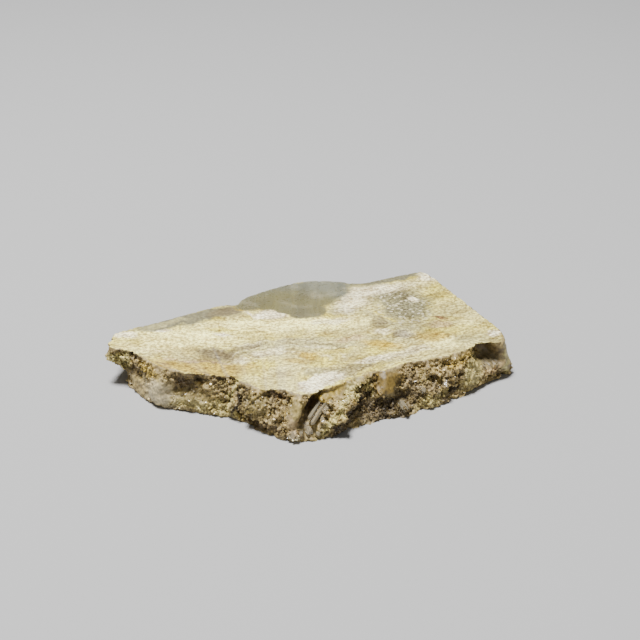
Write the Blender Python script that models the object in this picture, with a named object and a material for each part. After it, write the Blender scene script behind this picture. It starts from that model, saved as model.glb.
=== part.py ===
"""Hokkaidoite slice: a slab sawn flat on both faces, with a broken, pitted wall and small quartz crystals.

Sizes are in millimetres and become metres when the mesh is made. The slab lies on its lower sawn face,
its long side along X, and its broken front wall faces -Y. The origin is under the middle of its box.
"""

import math
from dataclasses import dataclass

import bmesh
import bpy
from mathutils import Vector, noise

MM = 0.001
NODE_NAME = "hokkaidoite_slice"

THICKNESS = 6.5
NOISE_SEED = 7
FRONT_STEP = 0.56  # spacing of the wall's columns along the broken front
BACK_STEP = 0.86  # and along the plainer back
FRONT_LIMIT = 1.5  # plan y below which the foot of the wall counts as the front's
ROWS = 12  # courses of the wall from foot to rim
EDGE_SOFTENING = 2  # passes that round the outline's corners
NORMAL_REACH = 4  # columns either side that set which way the wall faces
LEDGE_LOW, LEDGE_HIGH = 0.36, 0.62  # share of the height where a ledge steps out
ROW_JITTER = 0.32  # how far a course wanders up and down
ROW_JITTER_SIZE = 1.1  # over about this length
BELLY_PEAK = 4.0  # makes the bow of t * (1 - t) reach 1 at half height
FACES_FRONT = 0.35  # a column facing less than this much towards the back has the front's relief

BLOCK_SIZE, BLOCK_RELIEF, BLOCK_TILT = 2.6, 1.2, 0.6  # angular broken blocks
TILT_SPREAD, LEVEL_SPREAD = 3.1, 2.3  # how differently neighbouring blocks tilt and stand
LEVEL_OFFSET = Vector((7.0, 1.0, 4.0))  # keeps the blocks' levels apart from their tilts
LUMP_SIZE, LUMP_RELIEF = 1.35, 0.84  # knobbly lumps on them
GRAIN_SIZE, GRAIN_RELIEF = 0.62, 0.44  # and grains
LUMP_OFFSET, GRAIN_OFFSET = 2.0, 5.0  # keep the two patterns apart
LUMP_TOP, LUMP_MIDDLE = 0.7, 0.3  # where a lump's top is cut flat and where it counts as level
PIT_SIZE, PIT_DEPTH, PIT_RADIUS, PIT_SHARE = 2.1, 0.8, 0.42, 0.05  # weathered pits
PIT_SPREAD = 1.7  # how differently neighbouring cells are pitted
MOST_BROKEN = 0.9  # the furthest that these push the wall out or in
CHIP_SIZE, CHIP_RELIEF = 1.7, 0.3  # chips along the sawn edges
RIM_SHARE, FOOT_SHARE = 0.3, 0.75  # how much of the relief reaches the sawn edges
RIM_FROM, FOOT_TO = 0.8, 0.15  # share of the height where it starts to fade towards them
RIM_NAMED_SHARE = 0.25  # how much of the named lumps and hollows the rim itself takes
SCALLOP_SIZE, SCALLOP_RELIEF = 6.5, 0.75  # shell-like fractures at the back
SCALLOP_LEVEL = 0.25  # where a dish counts as level
SCALLOP_OFFSET = Vector((3.0, 8.0, 5.0))
TIP_LENGTH = 1.1  # a crystal's pyramid, in radii
SIDES = 6

STONE_COLOUR = (0.56, 0.47, 0.31, 1.0)
STONE_ROUGHNESS = 0.62


@dataclass(frozen=True)
class Station:
    """A place on the outline: the rim's point, the foot's point and what the wall is like between them."""

    rim: tuple
    foot: tuple
    belly: float = 0.0  # how far the wall bows out at half height
    rough: float = 1.0  # 0 is smooth chalcedony, 1 is craggy rock
    ledge: float = 0.0  # 1 steps from foot to rim in one ledge, 0 slopes evenly


@dataclass(frozen=True)
class Relief:
    """A lump (rise above 0) or hollow (below 0) on the wall, at plan x and height z."""

    x: float
    z: float
    half_width: float
    half_height: float
    rise: float
    lean: float = 0.0  # how far its middle moves along x per millimetre of height
    edge: float = 2.0  # 2 is a soft hill, 4 and more is a block with steep sides
    calm: float = 0.0  # share of the roughness that it smooths away


@dataclass(frozen=True)
class Prism:
    """A six-sided quartz crystal from its root to its pointed tip."""

    root: tuple
    tip: tuple
    radius: float
    turn: float = 0.0


# Anticlockwise from above, starting at the front corner.
OUTLINE = [
    Station((-0.7, -18.9), (-1.8, -21.7), 0.5, 0.5),
    Station((1.2, -18.3), (1.2, -20.8), -0.4, 0.6),
    Station((3.4, -16.7), (4.6, -20.2), 0.3, 1.0),
    Station((5.7, -15.0), (7.2, -17.8), 0.4, 1.0),
    Station((9.0, -12.2), (11.0, -15.6), 0.0, 1.0),
    Station((12.1, -11.1), (14.1, -14.8), 0.2, 0.8),
    Station((15.6, -8.6), (17.4, -12.4), 0.1, 1.0),
    Station((18.3, -8.1), (19.6, -12.0), 0.2, 1.0),
    Station((21.5, -6.8), (22.7, -9.5), 0.3, 1.0),
    Station((24.3, -5.3), (25.3, -7.2), 0.4, 0.9),
    Station((25.7, -4.2), (26.9, -5.5), 0.3, 0.6),
    Station((26.9, -2.8), (28.4, -3.9), 0.3, 0.4),
    Station((28.4, -2.3), (29.9, -2.9), 0.2, 0.35),
    Station((29.7, -2.3), (31.2, -2.0), 0.0, 0.3),
    Station((30.7, -2.2), (32.5, -1.5), 0.0, 0.3),
    Station((31.3, -0.9), (33.1, -0.7), 0.0, 0.25),
    Station((31.5, 0.6), (32.9, 0.7), 0.0, 0.25),
    Station((31.1, 2.4), (32.1, 2.6), 0.1, 0.5),
    Station((29.7, 5.6), (30.5, 5.9), 0.2, 0.6),
    Station((27.1, 11.1), (27.9, 11.4), 0.2, 0.6),
    Station((23.8, 18.1), (24.5, 18.5), 0.3, 0.6),
    Station((21.4, 23.1), (21.9, 23.6), 0.2, 0.5),
    Station((19.7, 25.0), (19.9, 25.5), 0.1, 0.4),
    Station((16.0, 23.3), (15.8, 23.9), 0.3, 0.3),
    Station((11.5, 20.9), (11.2, 21.5), 0.3, 0.3),
    Station((8.5, 19.7), (8.4, 20.1), 0.1, 0.2),
    Station((6.3, 20.5), (6.4, 20.9), 0.3, 0.15),
    Station((1.9, 21.1), (2.0, 21.7), 0.4, 0.1),
    Station((-1.5, 20.7), (-1.8, 21.3), 0.4, 0.1),
    Station((-4.1, 19.3), (-4.5, 19.9), 0.3, 0.1),
    Station((-8.0, 16.5), (-8.4, 17.1), 0.3, 0.1),
    Station((-11.1, 14.2), (-11.5, 14.6), 0.1, 0.2),
    Station((-12.3, 11.2), (-12.7, 12.0), 0.0, 0.4),
    Station((-13.5, 11.9), (-14.0, 12.4), 0.1, 0.3),
    Station((-15.6, 10.9), (-15.9, 11.5), 0.3, 0.2),
    Station((-19.6, 8.5), (-19.9, 9.0), 0.3, 0.2),
    Station((-23.7, 5.8), (-23.9, 6.2), 0.2, 0.3),
    Station((-26.9, 3.9), (-26.5, 4.0), 0.1, 0.4, 0.3),
    Station((-28.8, 3.2), (-27.8, 3.0), 0.0, 0.5, 0.6),
    Station((-29.8, 2.1), (-28.6, 1.9), 0.0, 0.5, 0.8),
    Station((-31.2, 1.8), (-29.1, 0.9), 0.0, 0.6, 0.9),
    Station((-31.4, 0.0), (-29.3, -0.3), 0.0, 0.6, 1.0),
    Station((-31.8, -1.4), (-29.3, -1.4), 0.0, 0.6, 1.0),
    Station((-32.0, -2.8), (-29.0, -2.6), 0.0, 0.7, 1.0),
    Station((-31.2, -4.3), (-28.7, -3.9), 0.0, 0.7, 1.0),
    Station((-29.7, -4.3), (-28.2, -5.0), 0.0, 0.7, 0.9),
    Station((-28.3, -4.6), (-27.6, -6.0), 0.2, 0.6, 0.5),
    Station((-27.0, -5.6), (-26.9, -7.4), 0.2, 0.4, 0.2),
    Station((-25.9, -7.1), (-26.0, -8.6), 0.2, 0.35),
    Station((-24.8, -8.1), (-24.9, -9.4), 0.3, 0.35),
    Station((-23.6, -9.4), (-23.4, -10.3), 0.4, 0.4),
    Station((-22.2, -10.6), (-21.8, -11.2), 0.2, 0.5),
    Station((-21.1, -11.1), (-20.4, -11.9), 0.0, 0.6),
    Station((-18.7, -12.2), (-18.0, -12.8), 0.0, 0.7),
    Station((-15.6, -12.7), (-15.6, -13.2), 0.0, 0.7),
    Station((-13.2, -13.0), (-13.6, -14.0), 0.0, 0.7),
    Station((-12.1, -12.7), (-12.1, -14.4), 0.1, 0.7),
    Station((-11.1, -14.1), (-11.2, -15.1), 0.2, 0.8),
    Station((-9.5, -15.0), (-9.9, -16.1), 0.3, 0.9),
    Station((-8.3, -16.1), (-9.0, -17.4), 0.5, 1.0),
    Station((-6.7, -17.3), (-7.7, -18.9), 0.5, 1.0),
    Station((-5.5, -17.4), (-6.3, -19.8), 0.4, 1.0),
    Station((-4.1, -17.0), (-4.6, -20.5), 0.2, 1.0),
    Station((-2.5, -17.6), (-3.2, -21.0), 0.3, 0.7),
]

FRONT_RELIEF = [
    # The left tip: two slits above an undercut.
    Relief(-29.0, 5.8, 1.9, 0.32, -1.1, lean=2.0),
    Relief(-29.4, 3.9, 1.0, 0.4, -1.3),
    Relief(-27.2, 3.4, 1.6, 0.8, -0.9, lean=1.1),
    # The left wall: brow and hollow, a smooth bulge, a pale granular foot.
    Relief(-22.9, 2.7, 1.7, 2.6, 1.0, edge=3.0, calm=0.8),
    Relief(-16.6, 5.5, 4.2, 0.75, -0.7, edge=3.0),
    Relief(-19.2, 4.0, 1.7, 1.5, -1.5, lean=1.1, edge=3.0),
    Relief(-16.2, 1.2, 4.2, 1.3, 0.55, edge=3.0),
    # The pale vein with the crack beside it.
    Relief(-11.3, 3.9, 0.42, 3.0, 0.6, lean=-0.48, edge=4.0),
    Relief(-10.4, 3.7, 0.45, 3.0, -0.75, lean=-0.48, edge=4.0),
    # The middle: an olive lump, three pits under the rim, an undercut at the foot.
    Relief(-7.6, 4.4, 1.7, 1.5, 0.7, edge=3.0, calm=0.4),
    Relief(-5.4, 5.8, 0.8, 0.5, -1.1),
    Relief(-3.9, 5.4, 0.6, 0.5, -0.9),
    Relief(-3.0, 4.9, 0.75, 0.6, -1.0),
    Relief(-8.3, 1.1, 2.2, 0.8, -1.2, lean=-1.4, edge=3.0),
    Relief(-5.2, 2.6, 1.4, 1.1, 0.5),
    # The front corner: a smooth block, a lump and the slanting hollow beside them.
    Relief(-1.5, 4.3, 1.15, 1.5, 0.6, edge=5.0, calm=0.9),
    Relief(-2.1, 2.4, 0.8, 0.9, 0.5, edge=3.0, calm=0.7),
    Relief(0.6, 4.2, 1.1, 2.0, -2.5, lean=0.75, edge=4.0, calm=0.9),
    # The long granular ridge, the ledge above it and the cavity below its ribs.
    Relief(4.9, 3.2, 2.0, 2.5, 1.5, lean=0.95, edge=3.0),
    Relief(3.9, 5.9, 2.6, 0.6, -0.6, lean=1.0, edge=3.0, calm=0.9),
    Relief(8.3, 5.0, 1.5, 0.6, -1.3, edge=3.0),
    Relief(9.9, 4.9, 0.35, 1.5, 0.7, lean=-0.8, edge=4.0),
    Relief(8.9, 1.9, 1.8, 1.5, -1.5, lean=0.5, edge=3.0),
    # The smooth lens and the hollowed band under it.
    Relief(12.5, 4.9, 1.6, 1.8, 0.65, lean=0.45, edge=4.0, calm=0.95),
    Relief(13.6, 2.2, 2.5, 0.9, -0.7, edge=3.0),
    # The granular right wall, with its pits.
    Relief(16.9, 4.2, 1.5, 1.2, 0.45),
    Relief(19.6, 4.2, 0.6, 0.5, -0.9),
    Relief(17.8, 5.5, 0.45, 0.4, -0.8),
    Relief(21.6, 4.3, 0.5, 0.6, -0.8),
    Relief(20.7, 5.7, 0.5, 0.3, -0.6),
    Relief(22.9, 1.4, 1.0, 0.4, -1.0, lean=0.6),
    Relief(19.4, 1.9, 2.0, 1.0, 0.5),
    Relief(26.0, 2.8, 1.4, 2.2, 0.5, edge=3.0, calm=0.6),
    # The right end: a hollow under a thin brow, closed by a thin fin, with a ledge below it and a gap at the foot.
    Relief(28.7, 4.9, 1.9, 1.5, -2.6, lean=-0.35, edge=4.0, calm=0.95),
    Relief(29.6, 2.3, 1.9, 0.6, 0.5, lean=-0.3, edge=3.0, calm=0.6),
    Relief(31.9, 0.2, 0.7, 0.75, -1.4, edge=3.0),
]

BACK_RELIEF = [
    Relief(26.5, 3.6, 3.0, 1.6, -0.5),
    Relief(22.2, 2.6, 2.4, 1.6, 0.4),
    Relief(12.0, 2.2, 3.6, 1.5, -0.6, lean=0.8),
    Relief(2.5, 4.0, 4.2, 1.6, -0.7, lean=-0.6, edge=3.0, calm=0.8),
    Relief(-6.2, 2.4, 3.2, 1.7, -0.6, lean=0.5, edge=3.0, calm=0.8),
    Relief(-12.4, 3.2, 0.7, 3.6, -0.7, edge=3.0),
    Relief(-18.5, 3.0, 3.4, 1.7, -0.5, lean=0.7),
    Relief(-25.5, 2.0, 2.2, 1.2, 0.4),
]

CRYSTALS = [
    Prism((3.0, -17.2, 4.7), (0.6, -20.4, 2.3), 0.34, 0.5),
    Prism((2.6, -16.4, 5.3), (0.2, -20.0, 3.0), 0.3, 0.2),
    Prism((0.5, -19.0, 1.0), (0.1, -21.2, 1.2), 0.72, 0.3),
    Prism((1.6, -18.7, 0.8), (1.7, -21.0, 0.8), 0.42, 0.9),
    Prism((-0.8, -19.6, 1.5), (-1.0, -21.6, 1.1), 0.34, 0.2),
    Prism((-1.9, -20.2, 1.5), (-2.0, -22.1, 0.9), 0.62, 0.4),
    Prism((2.2, -18.3, 2.8), (2.5, -20.4, 2.4), 0.38, 0.7),
    Prism((2.9, -17.6, 3.9), (2.7, -19.5, 3.7), 0.42, 0.1),
    Prism((3.6, -16.9, 4.6), (3.5, -18.6, 4.6), 0.36, 0.6),
    Prism((17.4, -9.6, 2.9), (18.1, -11.9, 3.1), 0.5, 0.2),
    Prism((21.2, -7.8, 2.6), (21.7, -9.9, 2.9), 0.55, 0.8),
    Prism((14.4, -11.4, 1.2), (15.2, -14.6, 1.4), 0.5, 0.5),
]


def spread(stations):
    """Columns along the outline: rim and foot points and the wall's character, at near-even spacing."""
    columns = []
    for here, after in zip(stations, stations[1:] + stations[:1]):
        span = math.dist(here.rim, after.rim) * 0.5 + math.dist(here.foot, after.foot) * 0.5
        broken = (here.foot[1] + after.foot[1]) / 2 < FRONT_LIMIT
        count = max(1, round(span / (FRONT_STEP if broken else BACK_STEP)))
        for i in range(count):
            t = i / count
            columns.append(
                {
                    "rim": Vector(here.rim).lerp(Vector(after.rim), t),
                    "foot": Vector(here.foot).lerp(Vector(after.foot), t),
                    "belly": here.belly + (after.belly - here.belly) * t,
                    "rough": here.rough + (after.rough - here.rough) * t,
                    "ledge": here.ledge + (after.ledge - here.ledge) * t,
                }
            )
    return columns


def soften(columns):
    """Rounds the corners of the outline a little."""
    for _ in range(EDGE_SOFTENING):
        count = len(columns)
        for key in ("rim", "foot"):
            old = [column[key].copy() for column in columns]
            for i, column in enumerate(columns):
                column[key] = old[i] * 0.5 + (old[i - 1] + old[(i + 1) % count]) * 0.25
    return columns


def face_outwards(columns):
    """Gives each column the level direction that its wall faces."""
    middles = [(column["rim"] + column["foot"]) * 0.5 for column in columns]
    count = len(columns)
    for i, column in enumerate(columns):
        along = middles[(i + NORMAL_REACH) % count] - middles[i - NORMAL_REACH]
        column["out"] = Vector((along.y, -along.x)).normalized()
    return columns


def block_relief(place):
    """Broken blocks: each cell is a tilted flat facet at a level of its own."""
    scaled = place / BLOCK_SIZE
    cell = noise.voronoi(scaled)[1][0]
    tilt = noise.noise_vector(cell * TILT_SPREAD)
    level = noise.noise(cell * LEVEL_SPREAD + LEVEL_OFFSET)
    return level * BLOCK_RELIEF + tilt.dot(scaled - cell) * BLOCK_TILT * BLOCK_SIZE


def lump_relief(place, size, rise, offset):
    """Knobbles: high in the middle of each cell, with a sharp valley between cells."""
    near, second = noise.voronoi(place / size + Vector((offset, offset, offset)))[0][:2]
    return (min(second - near, LUMP_TOP) - LUMP_MIDDLE) * rise


def pit_relief(place):
    """Weathered pits in some of the cells."""
    scaled = place / PIT_SIZE
    distances, cells = noise.voronoi(scaled)
    if noise.noise(cells[0] * PIT_SPREAD) < PIT_SHARE:
        return 0.0
    return -PIT_DEPTH * max(0.0, 1.0 - (distances[0] / PIT_RADIUS) ** 2)


def scallop_relief(place):
    """Shell-like fracture: shallow dishes that meet at ridges."""
    near = noise.voronoi(place / SCALLOP_SIZE + SCALLOP_OFFSET)[0][0]
    return (near * near - SCALLOP_LEVEL) * SCALLOP_RELIEF


def shaped(relief, x, z):
    """How strongly one lump or hollow acts at plan x and height z, from 0 to 1."""
    across = abs(x - relief.x - relief.lean * (z - relief.z)) / relief.half_width
    up = abs(z - relief.z) / relief.half_height
    return math.exp(-(across**relief.edge) - up**relief.edge)


def wall_point(column, course):
    """A point of the wall: the slope from foot to rim, pushed out or in by its relief."""
    t = course / ROWS
    ledge = min(max((t - LEDGE_LOW) / (LEDGE_HIGH - LEDGE_LOW), 0.0), 1.0)
    ledge = ledge * ledge * (3.0 - 2.0 * ledge)
    slope = t + (ledge - t) * column["ledge"]
    flat = column["foot"].lerp(column["rim"], slope)
    flat += column["out"] * column["belly"] * BELLY_PEAK * t * (1.0 - t)
    z = THICKNESS * t
    place = Vector((flat.x, flat.y, z))
    if 0 < course < ROWS:
        z += noise.noise(place / ROW_JITTER_SIZE + LEVEL_OFFSET) * ROW_JITTER
    named = 0.0
    calm = 0.0
    for relief in FRONT_RELIEF if column["out"].y < FACES_FRONT else BACK_RELIEF:
        strength = shaped(relief, flat.x, z)
        named += relief.rise * strength
        calm = max(calm, relief.calm * strength)
    broken = block_relief(place)
    broken += lump_relief(place, LUMP_SIZE, LUMP_RELIEF, LUMP_OFFSET)
    broken += lump_relief(place, GRAIN_SIZE, GRAIN_RELIEF, GRAIN_OFFSET)
    broken += pit_relief(place)
    broken = math.tanh(broken / MOST_BROKEN) * MOST_BROKEN
    scallops = scallop_relief(place) * (1.0 - column["rough"])
    chips = noise.noise(place / CHIP_SIZE) * CHIP_RELIEF
    share = 1.0
    if t > RIM_FROM:
        share = 1.0 + (RIM_SHARE - 1.0) * (t - RIM_FROM) / (1.0 - RIM_FROM)
    elif t < FOOT_TO:
        share = 1.0 + (FOOT_SHARE - 1.0) * (FOOT_TO - t) / FOOT_TO
    rim_fade = 1.0 if course < ROWS else RIM_NAMED_SHARE
    push = named * rim_fade
    push += (broken * column["rough"] * (1.0 - calm) + scallops + chips * column["rough"]) * share
    flat += column["out"] * push
    return Vector((flat.x, flat.y, z))


def slab_mesh(columns):
    """The slab as one closed mesh: the wall in courses, and a flat sawn face above and below."""
    work = bmesh.new()
    rings = []
    for course in range(ROWS + 1):
        rings.append([work.verts.new(wall_point(column, course)) for column in columns])
    count = len(columns)
    for lower, upper in zip(rings, rings[1:]):
        for i in range(count):
            after = (i + 1) % count
            work.faces.new((lower[i], lower[after], upper[after], upper[i]))
    work.faces.new(rings[-1])
    work.faces.new(reversed(rings[0]))
    bmesh.ops.triangulate(work, faces=work.faces[:], quad_method="SHORT_EDGE")
    return work


def crystal_mesh(prism):
    """A closed six-sided prism with a pyramid at its tip."""
    root, tip = Vector(prism.root), Vector(prism.tip)
    axis = (tip - root).normalized()
    side = axis.orthogonal().normalized()
    across = axis.cross(side)
    shoulder = tip - axis * prism.radius * TIP_LENGTH
    work = bmesh.new()
    rings = []
    for centre in (root, shoulder):
        ring = []
        for i in range(SIDES):
            angle = prism.turn + math.tau * i / SIDES
            swing = side * math.cos(angle) + across * math.sin(angle)
            ring.append(work.verts.new(centre + swing * prism.radius))
        rings.append(ring)
    point = work.verts.new(tip)
    work.faces.new(reversed(rings[0]))
    for i in range(SIDES):
        after = (i + 1) % SIDES
        work.faces.new((rings[0][i], rings[0][after], rings[1][after], rings[1][i]))
        work.faces.new((rings[1][i], rings[1][after], point))
    return work


def add_object(name, work, centre):
    """An object from a mesh in millimetres, moved so that centre is at the origin, and in metres."""
    bmesh.ops.recalc_face_normals(work, faces=work.faces[:])
    for vert in work.verts:
        vert.co = (vert.co - centre) * MM
    mesh = bpy.data.meshes.new(name)
    work.to_mesh(mesh)
    work.free()
    made = bpy.data.objects.new(name, mesh)
    return made


def stone_material():
    """Cream and tan chalcedony rock."""
    material = bpy.data.materials.new("banded_stone")
    material.use_nodes = True
    shader = material.node_tree.nodes["Principled BSDF"]
    shader.inputs["Base Color"].default_value = STONE_COLOUR
    shader.inputs["Roughness"].default_value = STONE_ROUGHNESS
    shader.inputs["Metallic"].default_value = 0.0
    return material


def clear_scene():
    """Removes what the scene starts with."""
    for old in list(bpy.data.objects):
        bpy.data.objects.remove(old)


def under_middle(meshes):
    """The point of the bottom plane under the middle of these meshes' box."""
    places = [vert.co for work in meshes for vert in work.verts]
    middle = [(min(place[i] for place in places) + max(place[i] for place in places)) / 2 for i in (0, 1)]
    return Vector((*middle, 0.0))


def build_slice():
    """The slab with its crystals fused on, as one object."""
    slab_work = slab_mesh(face_outwards(soften(spread(OUTLINE))))
    crystal_works = [crystal_mesh(prism) for prism in CRYSTALS]
    centre = under_middle([slab_work, *crystal_works])
    slab = add_object(NODE_NAME, slab_work, centre)
    bpy.context.scene.collection.objects.link(slab)
    helpers = bpy.data.collections.new("crystals_to_fuse")
    bpy.context.scene.collection.children.link(helpers)
    helpers.hide_render = True
    for number, work in enumerate(crystal_works):
        crystal = add_object(f"crystal_{number}", work, centre)
        crystal.hide_render = True
        crystal.display_type = "WIRE"
        helpers.objects.link(crystal)
    fuse = slab.modifiers.new("fuse crystals", "BOOLEAN")
    fuse.operation = "UNION"
    fuse.solver = "EXACT"
    fuse.operand_type = "COLLECTION"
    fuse.collection = helpers
    slab.data.materials.append(stone_material())
    return slab


clear_scene()
noise.seed_set(NOISE_SEED)
build_slice()
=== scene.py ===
"""Looks of the hokkaidoite slice: a sawn slab of banded chalcedony rock with a broken, sugary wall.

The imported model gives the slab's form. This script refines a copy of it, grows small quartz crystals and
a crust of grains on the broken wall, and paints the bands. Sizes are in millimetres on the slice's plan,
whose zero lies at PLAN_ZERO in the model, and become metres where a mesh or a texture is made.
"""

import logging
import math
from collections.abc import Callable, Sequence
from dataclasses import dataclass, field
from enum import Enum

import bmesh
import bpy
import numpy as np
from mathutils import Euler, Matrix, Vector


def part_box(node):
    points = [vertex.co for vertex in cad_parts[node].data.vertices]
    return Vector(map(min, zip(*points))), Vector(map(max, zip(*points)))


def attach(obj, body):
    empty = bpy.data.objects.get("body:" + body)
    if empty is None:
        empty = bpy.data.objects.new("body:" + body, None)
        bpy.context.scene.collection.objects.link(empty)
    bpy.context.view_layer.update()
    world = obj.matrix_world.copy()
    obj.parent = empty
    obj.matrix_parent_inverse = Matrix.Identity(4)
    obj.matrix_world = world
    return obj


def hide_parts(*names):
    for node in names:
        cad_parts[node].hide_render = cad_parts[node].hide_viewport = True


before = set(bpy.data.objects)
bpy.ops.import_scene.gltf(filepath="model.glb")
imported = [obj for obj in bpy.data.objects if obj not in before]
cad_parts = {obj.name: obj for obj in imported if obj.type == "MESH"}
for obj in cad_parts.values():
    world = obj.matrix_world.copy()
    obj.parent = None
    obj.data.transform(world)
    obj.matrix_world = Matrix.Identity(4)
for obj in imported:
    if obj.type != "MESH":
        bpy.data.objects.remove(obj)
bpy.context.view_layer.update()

log = logging.getLogger("hokkaidoite_slice")

MM = 0.001
NODE = "hokkaidoite_slice"
BODY = "root"
PLAN_ZERO = Vector((-0.5178, -1.634, 0.0))  # the plan's zero in the model
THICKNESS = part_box(NODE)[1].z / MM

QUARTZ_IOR = 1.54
WALL_CORNERS = 4  # the most corners that a face of the wall has: a sawn face has hundreds

Place = tuple[float, float, float]
Tint = tuple[float, float, float]
Colour = tuple[float, float, float, float]


def shade(red: int, green: int, blue: int) -> Colour:
    """A linear colour from its three screen values.

    Args:
        red: Screen value from 0 to 255.
        green: Screen value from 0 to 255.
        blue: Screen value from 0 to 255.

    Returns:
        The linear colour with an alpha of 1.
    """
    parts = [value / 255.0 for value in (red, green, blue)]
    linear = [part / 12.92 if part <= 0.04045 else ((part + 0.055) / 1.055) ** 2.4 for part in parts]
    return (linear[0], linear[1], linear[2], 1.0)


class Tone(Enum):
    """The rock's colours, from chalk white to the dark browns used for painted shade in hollows and cracks.
    """

    CHALK = shade(230, 220, 184)
    PALE = shade(240, 229, 146)
    CREAM = shade(194, 182, 116)
    BUTTER = shade(192, 178, 82)
    SAND = shade(152, 136, 80)
    GREY_SAND = shade(112, 100, 70)
    HONEY = shade(172, 144, 30)
    OCHRE = shade(166, 142, 52)
    OLIVE = shade(124, 110, 60)
    TAN = shade(166, 147, 98)
    FAWN = shade(126, 110, 74)
    ROSE = shade(176, 152, 108)
    RUST = shade(132, 84, 50)
    SMOKE = shade(120, 114, 76)
    MIST = shade(164, 156, 110)
    VEIL = shade(112, 107, 80)
    SYRUP = shade(112, 92, 40)
    UMBER = shade(88, 70, 42)
    EARTH = shade(46, 35, 18)
    LILAC = shade(124, 117, 108)
    STEEL = shade(126, 127, 112)


class Wire:
    """A node's output in a Python expression: each operator adds one Math node."""

    def __init__(self, bench: "Bench", socket: bpy.types.NodeSocket) -> None:
        """Holds the socket and the bench that its nodes go on."""
        self.bench = bench
        self.socket = socket

    def math(self, operation: str, *others: "Wire | float") -> "Wire":
        """A Math node's result, with this wire as its first value."""
        values = dict(enumerate((self, *others)))
        return self.bench.wire("ShaderNodeMath", {"operation": operation}, values)

    def __add__(self, other: "Wire | float") -> "Wire":
        """This wire plus another."""
        return self.math("ADD", other)

    __radd__ = __add__

    def __sub__(self, other: "Wire | float") -> "Wire":
        """This wire minus another."""
        return self.math("SUBTRACT", other)

    def __rsub__(self, other: float) -> "Wire":
        """A number minus this wire."""
        return self.bench.wire("ShaderNodeMath", {"operation": "SUBTRACT"}, {0: other, 1: self})

    def __mul__(self, other: "Wire | float") -> "Wire":
        """This wire times another."""
        return self.math("MULTIPLY", other)

    __rmul__ = __mul__

    def __truediv__(self, other: "Wire | float") -> "Wire":
        """This wire divided by another."""
        return self.math("DIVIDE", other)

    def __pow__(self, other: float) -> "Wire":
        """This wire to a power."""
        return self.math("POWER", other)

    def larger(self, other: "Wire | float") -> "Wire":
        """The larger of two values."""
        return self.math("MAXIMUM", other)

    def rise(self, start: float, end: float) -> "Wire":
        """A soft step from 0 at start to 1 at end, which may lie either way round."""
        reach = {"Value": self, "From Min": start, "From Max": end}
        settings = {"interpolation_type": "SMOOTHSTEP", "clamp": False}  # the step itself ends at 0 and 1
        return self.bench.wire("ShaderNodeMapRange", settings, reach)


Value = Wire | float | int | str | tuple | bpy.types.ID


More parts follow.
